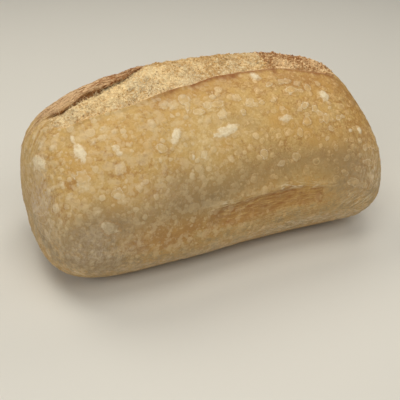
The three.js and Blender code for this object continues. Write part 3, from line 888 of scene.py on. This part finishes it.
def small_blisters(n, on, colour):
    """Paler domes with brown gaps round them, and a bright rim on the right of the loaf."""
    spots = n.use(blister_group(), on.place)
    upper_right = n.times(on.right, n.remap(on.z, 50.0, 75.0))
    rims = n.times(spots["Rim"], on.arcs, n.blend(0.3, 0.65, upper_right))
    strong = n.calc("POWER", spots["Tone"], n.blend(1.2, 2.0, on.right))
    browner = n.times(n.remap(on.browning, 0.55, 1.1), n.remap(on.z, 60.0, 40.0))
    # The blisters' paleness and the milky clouds fade in the painted shade low on the crust; the paleness
    # also fades in the band and where the crust is browner.
    pale = n.times(n.plus(n.times(strong, 0.62), rims), n.remap(on.low, 0.2, 0.9, 1.0, 0.45),
                   n.remap(on.band, 0.0, 1.0, 1.0, 0.3), n.remap(browner, 0.0, 1.0, 1.0, 0.15))
    milk = n.times(n.remap(n.grain(on.place, 0.17), 0.5, 0.6, 0.0, 0.32),
                   n.remap(on.right, 0.0, 1.0, 1.0, 0.3), n.remap(on.low, 0.2, 1.0, 1.0, 0.6))
    gap = n.times(spots["Gap"], on.crust, n.blend(0.08, 0.3, upper_right))
    on.domes = n.times(spots["Height"], on.crust)
    return n.tint(n.times(n.larger(pale, milk), on.crust), n.tint(gap, colour, "brown"), on.tops)


def flour_and_folds(n, on, colour):
    on.crease = n.times(crease_nodes(n, n.field(FOLD_MAP, "Vector")), on.fold)
    on.dust = n.times(on.flour, n.remap(n.grain(on.place, 0.5, 4.0, 0.7), 0.35, 0.7))
    return n.tint(n.times(on.crease, 0.85), n.tint(on.dust, colour, "flour"), "white")


def large_blisters(n, on, colour):
    """The blisters that have their own places: ragged and milky, with a pale edge in a brown moat."""
    ragged = n.plus(on.inside, n.remap(n.grain(on.place, 0.32), 0.3, 0.7, -0.14, 0.14))
    body = n.plus(n.times(n.remap(ragged, 0.42, 0.6), 0.6), n.times(n.remap(ragged, 0.55, 0.85), 0.25),
                  n.times(n.remap(ragged, 0.22, 0.5), 0.18))
    # Painted shade: the white and the pale edge fade low on the crust, where it is painted shaded.
    soft = n.remap(on.low, 0.2, 0.9, 1.0, 0.4)
    patchy = n.remap(n.grain(on.place, 0.5, 3.0, 0.5), 0.35, 0.6, 0.65, 1.1)
    kept = n.blend(soft, 1.0, n.remap(on.whiteness, 0.5, 0.75))
    white = n.times(body, patchy, on.whiteness, on.crust, kept)
    broken = n.remap(on.arcs, 0.15, 1.0, 0.5, 1.1)
    edge = n.times(n.around(ragged, 0.5, 0.1), on.rim, broken, soft, on.crust)
    moat = n.times(n.around(ragged, 0.34, 0.12), on.rim, on.crust)
    on.milky = n.larger(white, edge)
    colour = n.tint(n.times(moat, 0.4), colour, "brown")
    colour = n.tint(white, colour, n.tint(n.remap(on.whiteness, 0.3, 0.7), on.tops, "white"))
    return n.tint(n.times(edge, 0.8), colour, "white")


def stretched_skin(n, on, colour):
    """The ear: pale strands along the loaf, brown between them, and the hollow under it, with painted
    highlight and painted shade following its relief.
    """
    fine = n.streaks(on.place, 0.12, 1.4, 1.4, 3.0, 0.5)
    # The strands follow the streaks that raise the ear's relief, so they are painted paler on the raised
    # streaks and browner in the grooves: partly their own colour, partly painted highlight and painted shade.
    on.strand = n.plus(on.streak, n.remap(fine, 0.35, 0.65, -0.25, 0.25),
                       n.remap(on.x, -100.0, -50.0, 0.45, 0.0))
    stretched = n.tint(n.remap(on.strand, 0.2, 0.75), "ear_dark", "ear_light")
    # The hollow under the ear is painted in the hollow colour, its own brown darkened as painted shade.
    return n.tint(on.ear, colour, n.tint(on.under, stretched, "hollow"))


def torn_crumb(n, on, colour):
    """The crumb under the loose grains, its toasted end, and the baked lip and pale ridge beside it."""
    speck = n.use(crumb_grain_group(), on.place)
    on.crumb_bump = n.times(speck["Bump"], on.torn)
    crumb = n.tint(speck["Speck"], "crumb_gold", n.tint(speck["Zone"], "crumb_pale", "crumb_cool"))
    crumb = n.tint(speck["Pore"], crumb, "pore")
    toasted = n.tint(speck["Speck"], "toast_dark", "toast_light")
    colour = n.tint(on.torn, colour, n.tint(on.toast, crumb, toasted))
    colour = n.tint(n.times(on.lip, n.remap(on.middle_grain, 0.35, 0.6, 0.75, 1.0)), colour, "lip")
    return n.tint(n.times(on.ridge, 0.85), colour, "ridge")


def crust_material():
    material, n, shader = new_material("baked crust", 0.55, 0.35)
    on = crust_places(n)
    colour = baked_skin(n, on)
    for look in (small_blisters, flour_and_folds, large_blisters, stretched_skin, torn_crumb):
        colour = look(n, on, colour)
    rough = n.blend(0.45, 0.62, n.remap(on.quick_grain, 0.35, 0.65))
    rough = n.blend(rough, 0.9, n.larger(on.torn, n.times(on.dust, 0.6)))
    wrinkles = n.streaks(on.place, 0.3, 0.6, 0.9, 5.0, 0.65, 1.2)
    raised = n.plus(on.crease, n.times(on.milky, 0.8))
    normal = n.bump([(on.domes, 0.0004, 0.6), (raised, 0.0004, 0.8), (wrinkles, 0.0006, 0.5),
                     (on.crumb_bump, 0.0005, 0.6), (n.times(on.strand, on.ear), 0.0007, 0.8)])
    for name, value in (("Base Color", colour), ("Roughness", rough), ("Normal", normal)):
        n.feed(shader.inputs[name], value)
    return material


def crumb_material():
    material, n, shader = new_material("torn crumb", 0.9, 0.2)
    speck = n.use(crumb_grain_group(), n.field(SKIN_MAP, "Vector"))
    light = n.plus(n.times(n.field("tone"), 0.7), n.remap(speck["Speck"], 0.0, 1.0, -0.2, 0.5))
    crumb = n.tint(light, "crumb_gold", n.tint(speck["Zone"], "crumb_pale", "crumb_cool"))
    dark = n.larger(n.remap(light, -0.6, -0.1, 1.0, 0.0), n.times(speck["Pore"], 0.8))
    toasted = n.tint(light, "toast_dark", "toast_light")
    n.feed(shader.inputs["Base Color"], n.tint(n.field("toast"), n.tint(dark, crumb, "pore"), toasted))
    n.feed(shader.inputs["Roughness"], n.blend(0.85, 0.95, speck["Pore"]))
    n.feed(shader.inputs["Normal"], n.bump([(speck["Bump"], 0.0004, 0.6)]))
    return material


def strand_material():
    material, n, shader = new_material("stretched skin", 0.7, 0.3)
    place = n.field(SKIN_MAP, "Vector")
    fine = n.streaks(place, 0.2, 1.6, 1.6)
    share = n.plus(n.times(n.field("tone"), 1.3), n.remap(fine, 0.3, 0.7, -0.65, 0.3),
                   n.remap(n.split(place)[0], -100.0, -40.0, 0.4, -0.25))
    n.feed(shader.inputs["Base Color"], n.tint(share, "ear_dark", "ear_light"))
    n.feed(shader.inputs["Normal"], n.bump([(fine, 0.0004, 0.8)]))
    return material


# ---------------------------------------------------------------- what is scattered

ICO = (1 + 5 ** 0.5) / 2
GRAIN_POINTS = unit(np.array([
    (-1, ICO, 0), (1, ICO, 0), (-1, -ICO, 0), (1, -ICO, 0), (0, -1, ICO), (0, 1, ICO),
    (0, -1, -ICO), (0, 1, -ICO), (ICO, 0, -1), (ICO, 0, 1), (-ICO, 0, -1), (-ICO, 0, 1),
]))
GRAIN_FACES = np.array([(0, 11, 5), (0, 5, 1), (0, 1, 7), (0, 7, 10), (0, 10, 11), (1, 5, 9), (5, 11, 4),
                        (11, 10, 2), (10, 7, 6), (7, 1, 8), (3, 9, 4), (3, 4, 2), (3, 2, 6), (3, 6, 8),
                        (3, 8, 9), (4, 9, 5), (2, 4, 11), (6, 2, 10), (8, 6, 7), (9, 8, 1)])
GRAIN_SHAPES = 24
GRAIN_LUMPINESS = 0.25
# How the bits look: shape along each axis, lean from the surface, and turn away from square across it.
CRUMB_LOOK = {"shape": (1.7, 0.55, 0.5), "tilt": 0.35, "turn": 0.7}
CRAG_LOOK = {"shape": (1.2, 0.55, 1.1), "tilt": 0.5, "turn": 1.0}

SIDES = 3
THREAD_RINGS = 5
STRAND_RINGS = 14
STRAND_LENGTHS_MM = (7, 26)
STRAND_LIFT = 0.0009  # most that a strand's end stands clear, in metres
ROW_STEP_MM = 1.05  # about how far apart the grid's slices lie


def on_grid(values, row, column):
    """Values of a field between the grid's points; columns run round, rows stop at the ends."""
    row = np.clip(row, 0, len(values) - 1.001)
    r, c = np.floor(row).astype(int), np.floor(column).astype(int)
    here, beside = c % values.shape[1], (c + 1) % values.shape[1]
    a, b = (row - r)[..., None], (column - c)[..., None]
    low = mix(values[r, here], values[r, beside], b)
    return mix(low, mix(values[r + 1, here], values[r + 1, beside], b), a)


def surface_frame(grid):
    """At each point of the grid: the way out of the surface and the way across the loaf."""
    points = grid["points"]
    across = np.roll(points, -1, 1) - np.roll(points, 1, 1)
    return unit(np.cross(across, np.gradient(points, axis=0))), unit(across)


def scatter(grid, weight, count, rng):
    """Rows and columns of random places on the mesh, drawn by area times weight."""
    points = grid["points"]
    round_loaf, along_loaf = np.roll(points, -1, 1)[:-1] - points[:-1], points[1:] - points[:-1]
    area = np.linalg.norm(np.cross(round_loaf, along_loaf), axis=-1)
    chance = (area * weight[:-1]).ravel()
    picked = np.sort(rng.choice(len(chance), count, p=chance / chance.sum()))
    row, column = np.divmod(picked, weight.shape[1])
    a, b = rng.random((2, count))
    return row + b, column + a


def frames_of(out, lead, tilt, turn, rng):
    """Frames whose first axis follows lead, turned at random by turn, and whose third leans by tilt."""
    axis = unit(out + tilt * rng.normal(size=out.shape))
    side = unit(np.cross(axis, lead + turn * rng.normal(size=out.shape)))
    return np.stack([np.cross(side, axis), side, axis], 1)


def tubes(lines, side, up, radii):
    """Closed threads with three sides along lines of points, one line a row; side and up span each ring."""
    count, rings = radii.shape
    turn = np.arange(SIDES) * 2 * np.pi / SIDES
    ring = np.cos(turn)[:, None] * side[..., None, :] + np.sin(turn)[:, None] * up[..., None, :]
    points = lines[:, :, None] + ring * radii[..., None, None]
    start = rings * SIDES * np.arange(count)[:, None, None] + SIDES * np.arange(rings - 1)[:, None]
    here, beside = start + np.arange(SIDES), start + (np.arange(SIDES) + 1) % SIDES
    walls = np.stack([here, beside, beside + SIDES, here, beside + SIDES, here + SIDES], -1).reshape(-1, 3)
    first, last = start[:, 0], start[:, -1] + SIDES
    return points.reshape(-1, 3), np.concatenate([walls, first + [2, 1, 0], last + [0, 1, 2]])


def grains(where, out, across, rng, size, shape, tilt, turn):
    """Small lumpy bits, one for each place: their points, faces and tones."""
    count = len(where)
    sizes = size * np.exp(0.3 * rng.normal(size=(count, 1))) * np.array(shape)
    sizes = sizes * np.exp(0.25 * rng.normal(size=(count, 3)))
    lumps = 1 + GRAIN_LUMPINESS * rng.normal(size=(GRAIN_SHAPES, len(GRAIN_POINTS), 1))
    local = (GRAIN_POINTS * lumps)[rng.integers(0, GRAIN_SHAPES, count)] * sizes[:, None]
    points = np.einsum("nki,nij->nkj", local, frames_of(out, across, tilt, turn, rng)) + where[:, None]
    faces = GRAIN_FACES[None] + len(GRAIN_POINTS) * np.arange(count)[:, None, None]
    return points.reshape(-1, 3), faces.reshape(-1, 3), ease(0.2, 1.1, rng.random(count))


def standing_threads(where, out, across, rng, length, radius):
    """Threads that stand up from the surface, taper and bend over."""
    count = len(where)
    lengths = length * rng.uniform(0.4, 1.4, count)[:, None, None]
    radius = radius * rng.uniform(0.6, 1.2, count)[:, None]
    frames = frames_of(out, across, 0.4, 0.6, rng)[:, None]
    s = np.linspace(0, 1, THREAD_RINGS)[None, :, None]
    bend = 0.5 * rng.normal(size=(count, 1, 1)) * s ** 2
    lines = where[:, None] + lengths * (frames[:, :, 2] * (s - 0.15) + frames[:, :, 0] * bend)
    points, faces = tubes(lines, frames[:, :, 0], frames[:, :, 1], radius * (1 - 0.8 * s[..., 0]))
    return points, faces, rng.uniform(0.8, 1.3, count)


def lying_threads(where, out, across, rng, length, radius):
    """Short threads that lie on the surface in all directions, one end a little up."""
    count = len(where)
    lengths = length * rng.uniform(0.5, 1.5, count)[:, None, None]
    radius = radius * rng.uniform(0.7, 1.4, count)[:, None]
    axis = unit(np.cross(out, rng.normal(size=across.shape)))[:, None]
    out = out[:, None]
    side = np.cross(out, axis)
    s = np.linspace(-0.5, 0.5, THREAD_RINGS - 1)[None, :, None]
    bend = rng.normal(size=(count, 1, 1)) * s ** 2
    lift = 0.25 * rng.random((count, 1, 1)) * (s + 0.5) ** 2
    lines = where[:, None] + lengths * (axis * s + side * bend + out * (lift + 0.04))
    points, faces = tubes(lines, side, out, radius * (1 - 1.2 * np.abs(s[..., 0])))
    return points, faces, rng.uniform(0.6, 1, count)


def strands_along(grid, row, column, radius, rng):
    """Strands of skin that follow the loaf's length over the surface, with loose ends."""
    count = len(row)
    lengths = rng.uniform(*STRAND_LENGTHS_MM, count)
    radius = radius * rng.uniform(0.5, 1.3, count)
    lift = STRAND_LIFT * rng.random(count) ** 2
    s = np.linspace(-0.5, 0.5, STRAND_RINGS)[None]
    wave = rng.normal(size=(count, 1)) * np.sin(6 * s + 6 * rng.random((count, 1)))
    rows = row[:, None] + lengths[:, None] / ROW_STEP_MM * s
    columns = column[:, None] + 6 * rng.normal(size=(count, 1)) * s + 0.7 * wave
    up, side = (on_grid(v, rows, columns) for v in surface_frame(grid))
    to_end = np.abs(2 * s) ** 3
    clear = lift[:, None] * to_end + 0.3 * radius[:, None]
    lines = on_grid(grid["points"], rows, columns) + up * clear[..., None]
    points, faces = tubes(lines, -side, up, radius[:, None] * (1 - 0.85 * to_end))
    return points, faces, on_grid(grid["skin"], rows, columns)


def add_small_piece(name, points, faces, material, fields):
    mesh = make_mesh(name, points, np.empty((0, 4), int), faces)
    for field_name, values in fields.items():
        set_field(mesh, field_name, values)
    mesh.materials.append(material)
    return add_piece(name, mesh)


def add_bits(name, material, weight, count, bits, rng):
    """One piece of many small bits, each with its own tone and as toasted as the surface under it."""
    grid = finished_grid()
    row, column = scatter(grid, weight, count, rng)
    out, across = (on_grid(v, row, column) for v in surface_frame(grid))
    points, faces, tone = bits(on_grid(grid["points"], row, column), out, across, rng)
    toast, scorch, upper = (on_grid(grid["masks"][mask][..., None], row, column)[:, 0]
                            for mask in ("toast", "scorch", "upper"))
    tone = tone - 0.75 * upper - 0.8 * scorch * toast
    each = partial(np.repeat, repeats=len(points) // count, axis=0)
    middles = points.reshape(count, -1, 3).mean(1)
    skin = each(on_grid(grid["skin"], row, column)) + (points - each(middles)) / MM
    fields = {SKIN_MAP: skin, "tone": each(tone), "toast": each(toast)}
    add_small_piece(name, points, faces, material, fields)


# ---------------------------------------------------------------- settings

def colour_of(name, description, red, green, blue):
    """A colour given as the screen shows it, from 0 to 255."""
    linear = [((v / 255 + 0.055) / 1.055) ** 2.4 for v in (red, green, blue)]
    return FloatVectorProperty(name=name, description=description, subtype="COLOR", size=4, min=0, max=1,
                               default=(*linear, 1.0))


def length_of(name, description, default):
    return FloatProperty(name=name, description=description, default=default, unit="LENGTH")


def count_of(name, description, default):
    return IntProperty(name=name, description=description, default=default)


def angle_of(name, description, degrees):
    return FloatProperty(name=name, description=description, default=np.radians(degrees), subtype="ANGLE")


class LoafSurface(bpy.types.PropertyGroup):
    """How high the fine relief stands."""

    blister_height: length_of("Blister height", "Height of the small blisters", 0.0004)
    fold_height: length_of("Fold height", "Height of the fine folds", 0.0005)
    pale_height: length_of("Pale blister height", "Height of the large pale blisters", 0.0005)
    streak_height: length_of("Streak height", "Height of the stretched streaks on the ear", 0.0013)
    crumb_roughness: length_of("Crumb roughness", "Height of the torn crumb's lumps", 0.0005)


class CrumbSettings(bpy.types.PropertyGroup):
    """The loose surface of the torn crumb."""

    seed: count_of("Seed", "Start of the random draws", 7)
    thread_count: count_of("Lying threads", "How many threads lie on the crumb", 6000)
    thread_length: length_of("Lying length", "Length of a usual lying thread", 0.0026)
    thread_radius: length_of("Thread radius", "Radius of a usual thread", 0.00024)
    ear_strand_count: count_of("Ear strands", "How many strands lie on the ear", 520)
    ear_strand_radius: length_of("Strand radius", "Radius of a usual strand of the ear", 0.00034)
    grain_count: count_of("Grains", "Number of crumb grains", 9000)
    grain_size: length_of("Grain size", "Half size of a usual grain", 0.0005)
    strand_count: count_of("Standing threads", "How many threads stand up from the crumb", 170)
    strand_length: length_of("Standing length", "Length of a usual standing thread", 0.0037)
    crag_count: count_of("Crags", "Number of toasted crags", 4200)
    crag_size: length_of("Crag size", "Half size of a usual crag", 0.00072)


class LoafColours(bpy.types.PropertyGroup):
    """Colours of the baked loaf."""

    pale: colour_of("Pale crust", "Least baked crust", 221, 189, 127)
    golden: colour_of("Golden crust", "Usual crust", 208, 170, 101)
    brown: colour_of("Brown crust", "Most baked crust", 178, 130, 66)
    warm: colour_of("Warm crust", "Clouds of orange in the crust", 206, 160, 84)
    # The dull colour is painted shade low on the crust and in the painted shade patches, and also the crust's
    # own duller clouds.
    dull_and_shade: colour_of("Dull crust", "Crust towards the base", 151, 126, 87)
    blister: colour_of("Blister", "Tops of the small blisters at the left", 234, 213, 171)
    blister_gold: colour_of("Golden blister", "Tops of the small blisters at the right", 236, 202, 146)
    flour: colour_of("Flour", "Flour on the crust", 210, 192, 172)
    white: colour_of("White blister", "Large pale blisters", 242, 224, 186)
    # On the crust's ear these two colours follow the raised streaks: partly the strands' own colour, partly
    # painted highlight on their tops and painted shade in the grooves.
    ear_dark: colour_of("Dark ear", "Brown between the ear's strands", 160, 100, 44)
    ear_light: colour_of("Light ear", "Strands of the ear", 236, 202, 154)
    # Painted shade: the hollow colour is the ear's underside, its own brown painted darker for the shade
    # under the ear.
    hollow: colour_of("Hollow", "The hollow under the ear", 176, 132, 86)
    crumb_pale: colour_of("Pale crumb", "Pale specks of the crumb", 255, 232, 182)
    crumb_cool: colour_of("Cool crumb", "Duller zones of the crumb", 240, 222, 182)
    crumb_gold: colour_of("Golden crumb", "Golden specks of the crumb", 208, 167, 104)
    pore: colour_of("Pores", "Small dark pores between the crumb's threads", 156, 112, 64)
    toast_dark: colour_of("Dark toast", "Darkest toasted crags", 156, 102, 58)
    toast_light: colour_of("Light toast", "Palest toasted crags", 252, 220, 168)
    lip: colour_of("Lip", "The baked edge below the score", 156, 100, 48)
    ridge: colour_of("Ridge", "The thin ridge along the score", 224, 190, 150)


class StageSettings(bpy.types.PropertyGroup):
    """Floor, light and camera."""

    floor: colour_of("Floor", "Plain pale floor", 224, 221, 211)
    floor_reach: length_of("Floor reach", "How far the floor goes each way", 3.0)
    yaw: angle_of("Turn", "Camera's turn from square on", -26.8)
    pitch: angle_of("Pitch", "How far the camera looks down", 31.8)
    roll: angle_of("Roll", "Camera's roll", -1.07)
    distance: length_of("Distance", "Camera to aim point", 0.5038)
    aim: FloatVectorProperty(name="Aim", description="Point the camera looks at", subtype="XYZ",
                             default=(0.00686, 0.0024, 0.01165))
    lens: FloatProperty(name="Lens", description="Focal length in millimetres", default=57.46)
    sky: FloatProperty(name="Sky", description="Strength of the light all round", default=0.1)


# ---------------------------------------------------------------- operators

class LOAF_OT_crust(bpy.types.Operator):
    """Build the whole crust, with the score, the ear and the fine blisters"""

    bl_idname = "loaf.crust"
    bl_label = "Crust"

    def execute(self, context):
        grid = finished_grid()
        rows, columns = grid["place"].shape
        bowed = -BOW_TOWARDS_NEAR * HALF_LENGTH_MM
        tips = np.array([(end * HALF_LENGTH_MM, bowed, WIDEST_LEVEL_MM) for end in (1, -1)])
        right, left = (tips - BOX_MIDDLE_MM) * MM
        points = np.concatenate([[right], grid["points"].reshape(-1, 3), [left]])
        mesh = make_mesh("loaf_crust", points, *grid_faces(rows, columns))
        for name, values in grid["fields"].items():
            values = values.reshape(rows * columns, -1)
            set_field(mesh, name, np.squeeze(np.concatenate([values[:1], values, values[-1:]])))
        mesh.materials.append(crust_material())
        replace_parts(add_piece("loaf_crust", mesh), NODE)
        return {"FINISHED"}


class LOAF_OT_ear(bpy.types.Operator):
    """Lay the torn strands of skin over the ear"""

    bl_idname = "loaf.ear"
    bl_label = "Strands of the ear"

    def execute(self, context):
        crumb, grid = context.scene.loaf_crumb, finished_grid()
        rng = np.random.default_rng(crumb.seed + 1)
        fewer = 1 - 0.8 * ease(-0.25, 0.1, grid["place"])
        weight = grid["masks"]["ear"] * window(*STRAND_SPOTS, grid["spot"]) * fewer
        row, column = scatter(grid, weight, crumb.ear_strand_count, rng)
        points, faces, skin = strands_along(grid, row, column, crumb.ear_strand_radius, rng)
        tone = np.repeat(rng.random(len(row)), SIDES * STRAND_RINGS)
        fields = {SKIN_MAP: np.repeat(skin.reshape(-1, 3), SIDES, axis=0), "tone": tone}
        add_small_piece("ear_strands", points, faces, strand_material(), fields)
        return {"FINISHED"}


class LOAF_OT_crumb(bpy.types.Operator):
    """Build the loose grains, threads and toasted crags of the torn crumb"""

    bl_idname = "loaf.crumb"
    bl_label = "Torn crumb"

    def execute(self, context):
        crumb, grid = context.scene.loaf_crumb, finished_grid()
        rng = np.random.default_rng(crumb.seed)
        torn, toast = grid["masks"]["torn"], grid["masks"]["toast"]
        edge = window(*THREAD_SPOTS, grid["spot"]) * window(*THREAD_PLACES, grid["place"])
        material = crumb_material()
        pieces = [
            ("crumb_grains", torn * (1 - toast), crumb.grain_count,
             partial(grains, size=crumb.grain_size, **CRUMB_LOOK)),
            ("toasted_crags", torn * toast, crumb.crag_count,
             partial(grains, size=crumb.crag_size, **CRAG_LOOK)),
            ("standing_threads", torn * edge, crumb.strand_count,
             partial(standing_threads, length=crumb.strand_length, radius=crumb.thread_radius)),
            ("lying_threads", torn * (1 - 0.8 * toast), crumb.thread_count,
             partial(lying_threads, length=crumb.thread_length, radius=crumb.thread_radius)),
        ]
        for name, weight, count, bits in pieces:
            add_bits(name, material, weight, count, bits, rng)
        return {"FINISHED"}


# Soft lights: name, place in metres, metres across, watts, colour.
LIGHTS = [
    ("ceiling", (0.0, -0.1, 1.2), 0.7, 4.1, (1.0, 0.96, 0.9)),
    ("front", (0.1, -0.75, 0.9), 0.6, 2.6, (1.0, 0.97, 0.92)),
    ("front_right", (0.85, -0.55, 0.7), 0.6, 0.9, (1.0, 0.97, 0.92)),
    ("window", (-0.85, -0.6, 0.6), 0.6, 3.5, (0.97, 0.98, 1.0)),
    ("back", (-0.3, 0.6, 0.9), 0.6, 3.6, (1.0, 0.95, 0.87)),
    ("back_right", (0.6, 0.5, 0.8), 0.6, 1.6, (1.0, 0.96, 0.9)),
]
LIT_POINT = Vector((0, 0, 0.05))
SKY_COLOUR = (0.95, 0.95, 0.93, 1)


class LOAF_OT_stage(bpy.types.Operator):
    """Set the plain floor, the soft light and the camera"""

    bl_idname = "loaf.stage"
    bl_label = "Stage"

    def execute(self, context):
        stage = context.scene.loaf_stage
        self.add_floor(stage)
        for light in LIGHTS:
            self.add_light(*light)
        world = bpy.data.worlds.new("soft room")
        world.use_nodes = True
        background = world.node_tree.nodes["Background"]
        background.inputs["Color"].default_value = SKY_COLOUR
        background.inputs["Strength"].default_value = stage.sky
        context.scene.world = world
        context.scene.view_settings.view_transform = "Standard"
        self.add_camera(context, stage)
        return {"FINISHED"}

    def add_floor(self, stage):
        corners = stage.floor_reach * np.array([(-1, -1, 0), (1, -1, 0), (1, 1, 0), (-1, 1, 0)])
        mesh = make_mesh("floor", corners, np.array([(0, 1, 2, 3)]), np.empty((0, 3), int))
        material, _, shader = new_material("pale floor", 0.6, 0.3)
        shader.inputs["Base Color"].default_value = stage.floor
        mesh.materials.append(material)
        add_object("floor", mesh)

    def add_light(self, name, where, size, power, colour):
        data = bpy.data.lights.new(name, "AREA")
        data.shape, data.size, data.energy, data.color = "DISK", size, power, colour
        light = add_object(name, data)
        light.location = where
        light.rotation_euler = (LIT_POINT - Vector(where)).to_track_quat("-Z", "Y").to_euler()

    def add_camera(self, context, stage):
        cy, sy, cp, sp = np.cos(stage.yaw), np.sin(stage.yaw), np.cos(stage.pitch), np.sin(stage.pitch)
        back, right = Vector((sy * cp, -cy * cp, sp)), Vector((cy, sy, 0))
        up = back.cross(right)
        c, s = np.cos(stage.roll), np.sin(stage.roll)
        right, up = c * right - s * up, s * right + c * up
        data = bpy.data.cameras.new("camera")
        data.lens = stage.lens
        matrix = Matrix((right, up, back)).transposed().to_4x4()
        matrix.translation = Vector(stage.aim) + back * stage.distance
        camera = add_object("camera", data)
        camera.matrix_world = matrix
        context.scene.camera = camera


class LOAF_PT_panel(bpy.types.Panel):
    """Lists the loaf's pieces in the sidebar"""

    bl_label = "Sourdough Loaf"
    bl_idname = "LOAF_PT_panel"
    bl_space_type = "VIEW_3D"
    bl_region_type = "UI"
    bl_category = "Loaf"

    def draw(self, context):
        for operator in OPERATORS:
            self.layout.operator(operator.bl_idname)


SETTINGS = {"loaf_surface": LoafSurface, "loaf_crumb": CrumbSettings, "loaf_colours": LoafColours,
            "loaf_stage": StageSettings}
OPERATORS = (LOAF_OT_crust, LOAF_OT_ear, LOAF_OT_crumb, LOAF_OT_stage)


def register():
    for cls in (*SETTINGS.values(), *OPERATORS, LOAF_PT_panel):
        bpy.utils.register_class(cls)
    for name, cls in SETTINGS.items():
        setattr(bpy.types.Scene, name, PointerProperty(type=cls))


def unregister():
    for name in SETTINGS:
        delattr(bpy.types.Scene, name)
    for cls in (LOAF_PT_panel, *OPERATORS[::-1], *list(SETTINGS.values())[::-1]):
        bpy.utils.unregister_class(cls)


def main():
    register()
    bpy.ops.loaf.crust()
    bpy.ops.loaf.ear()
    bpy.ops.loaf.crumb()
    bpy.ops.loaf.stage()


if __name__ == "__main__":
    main()
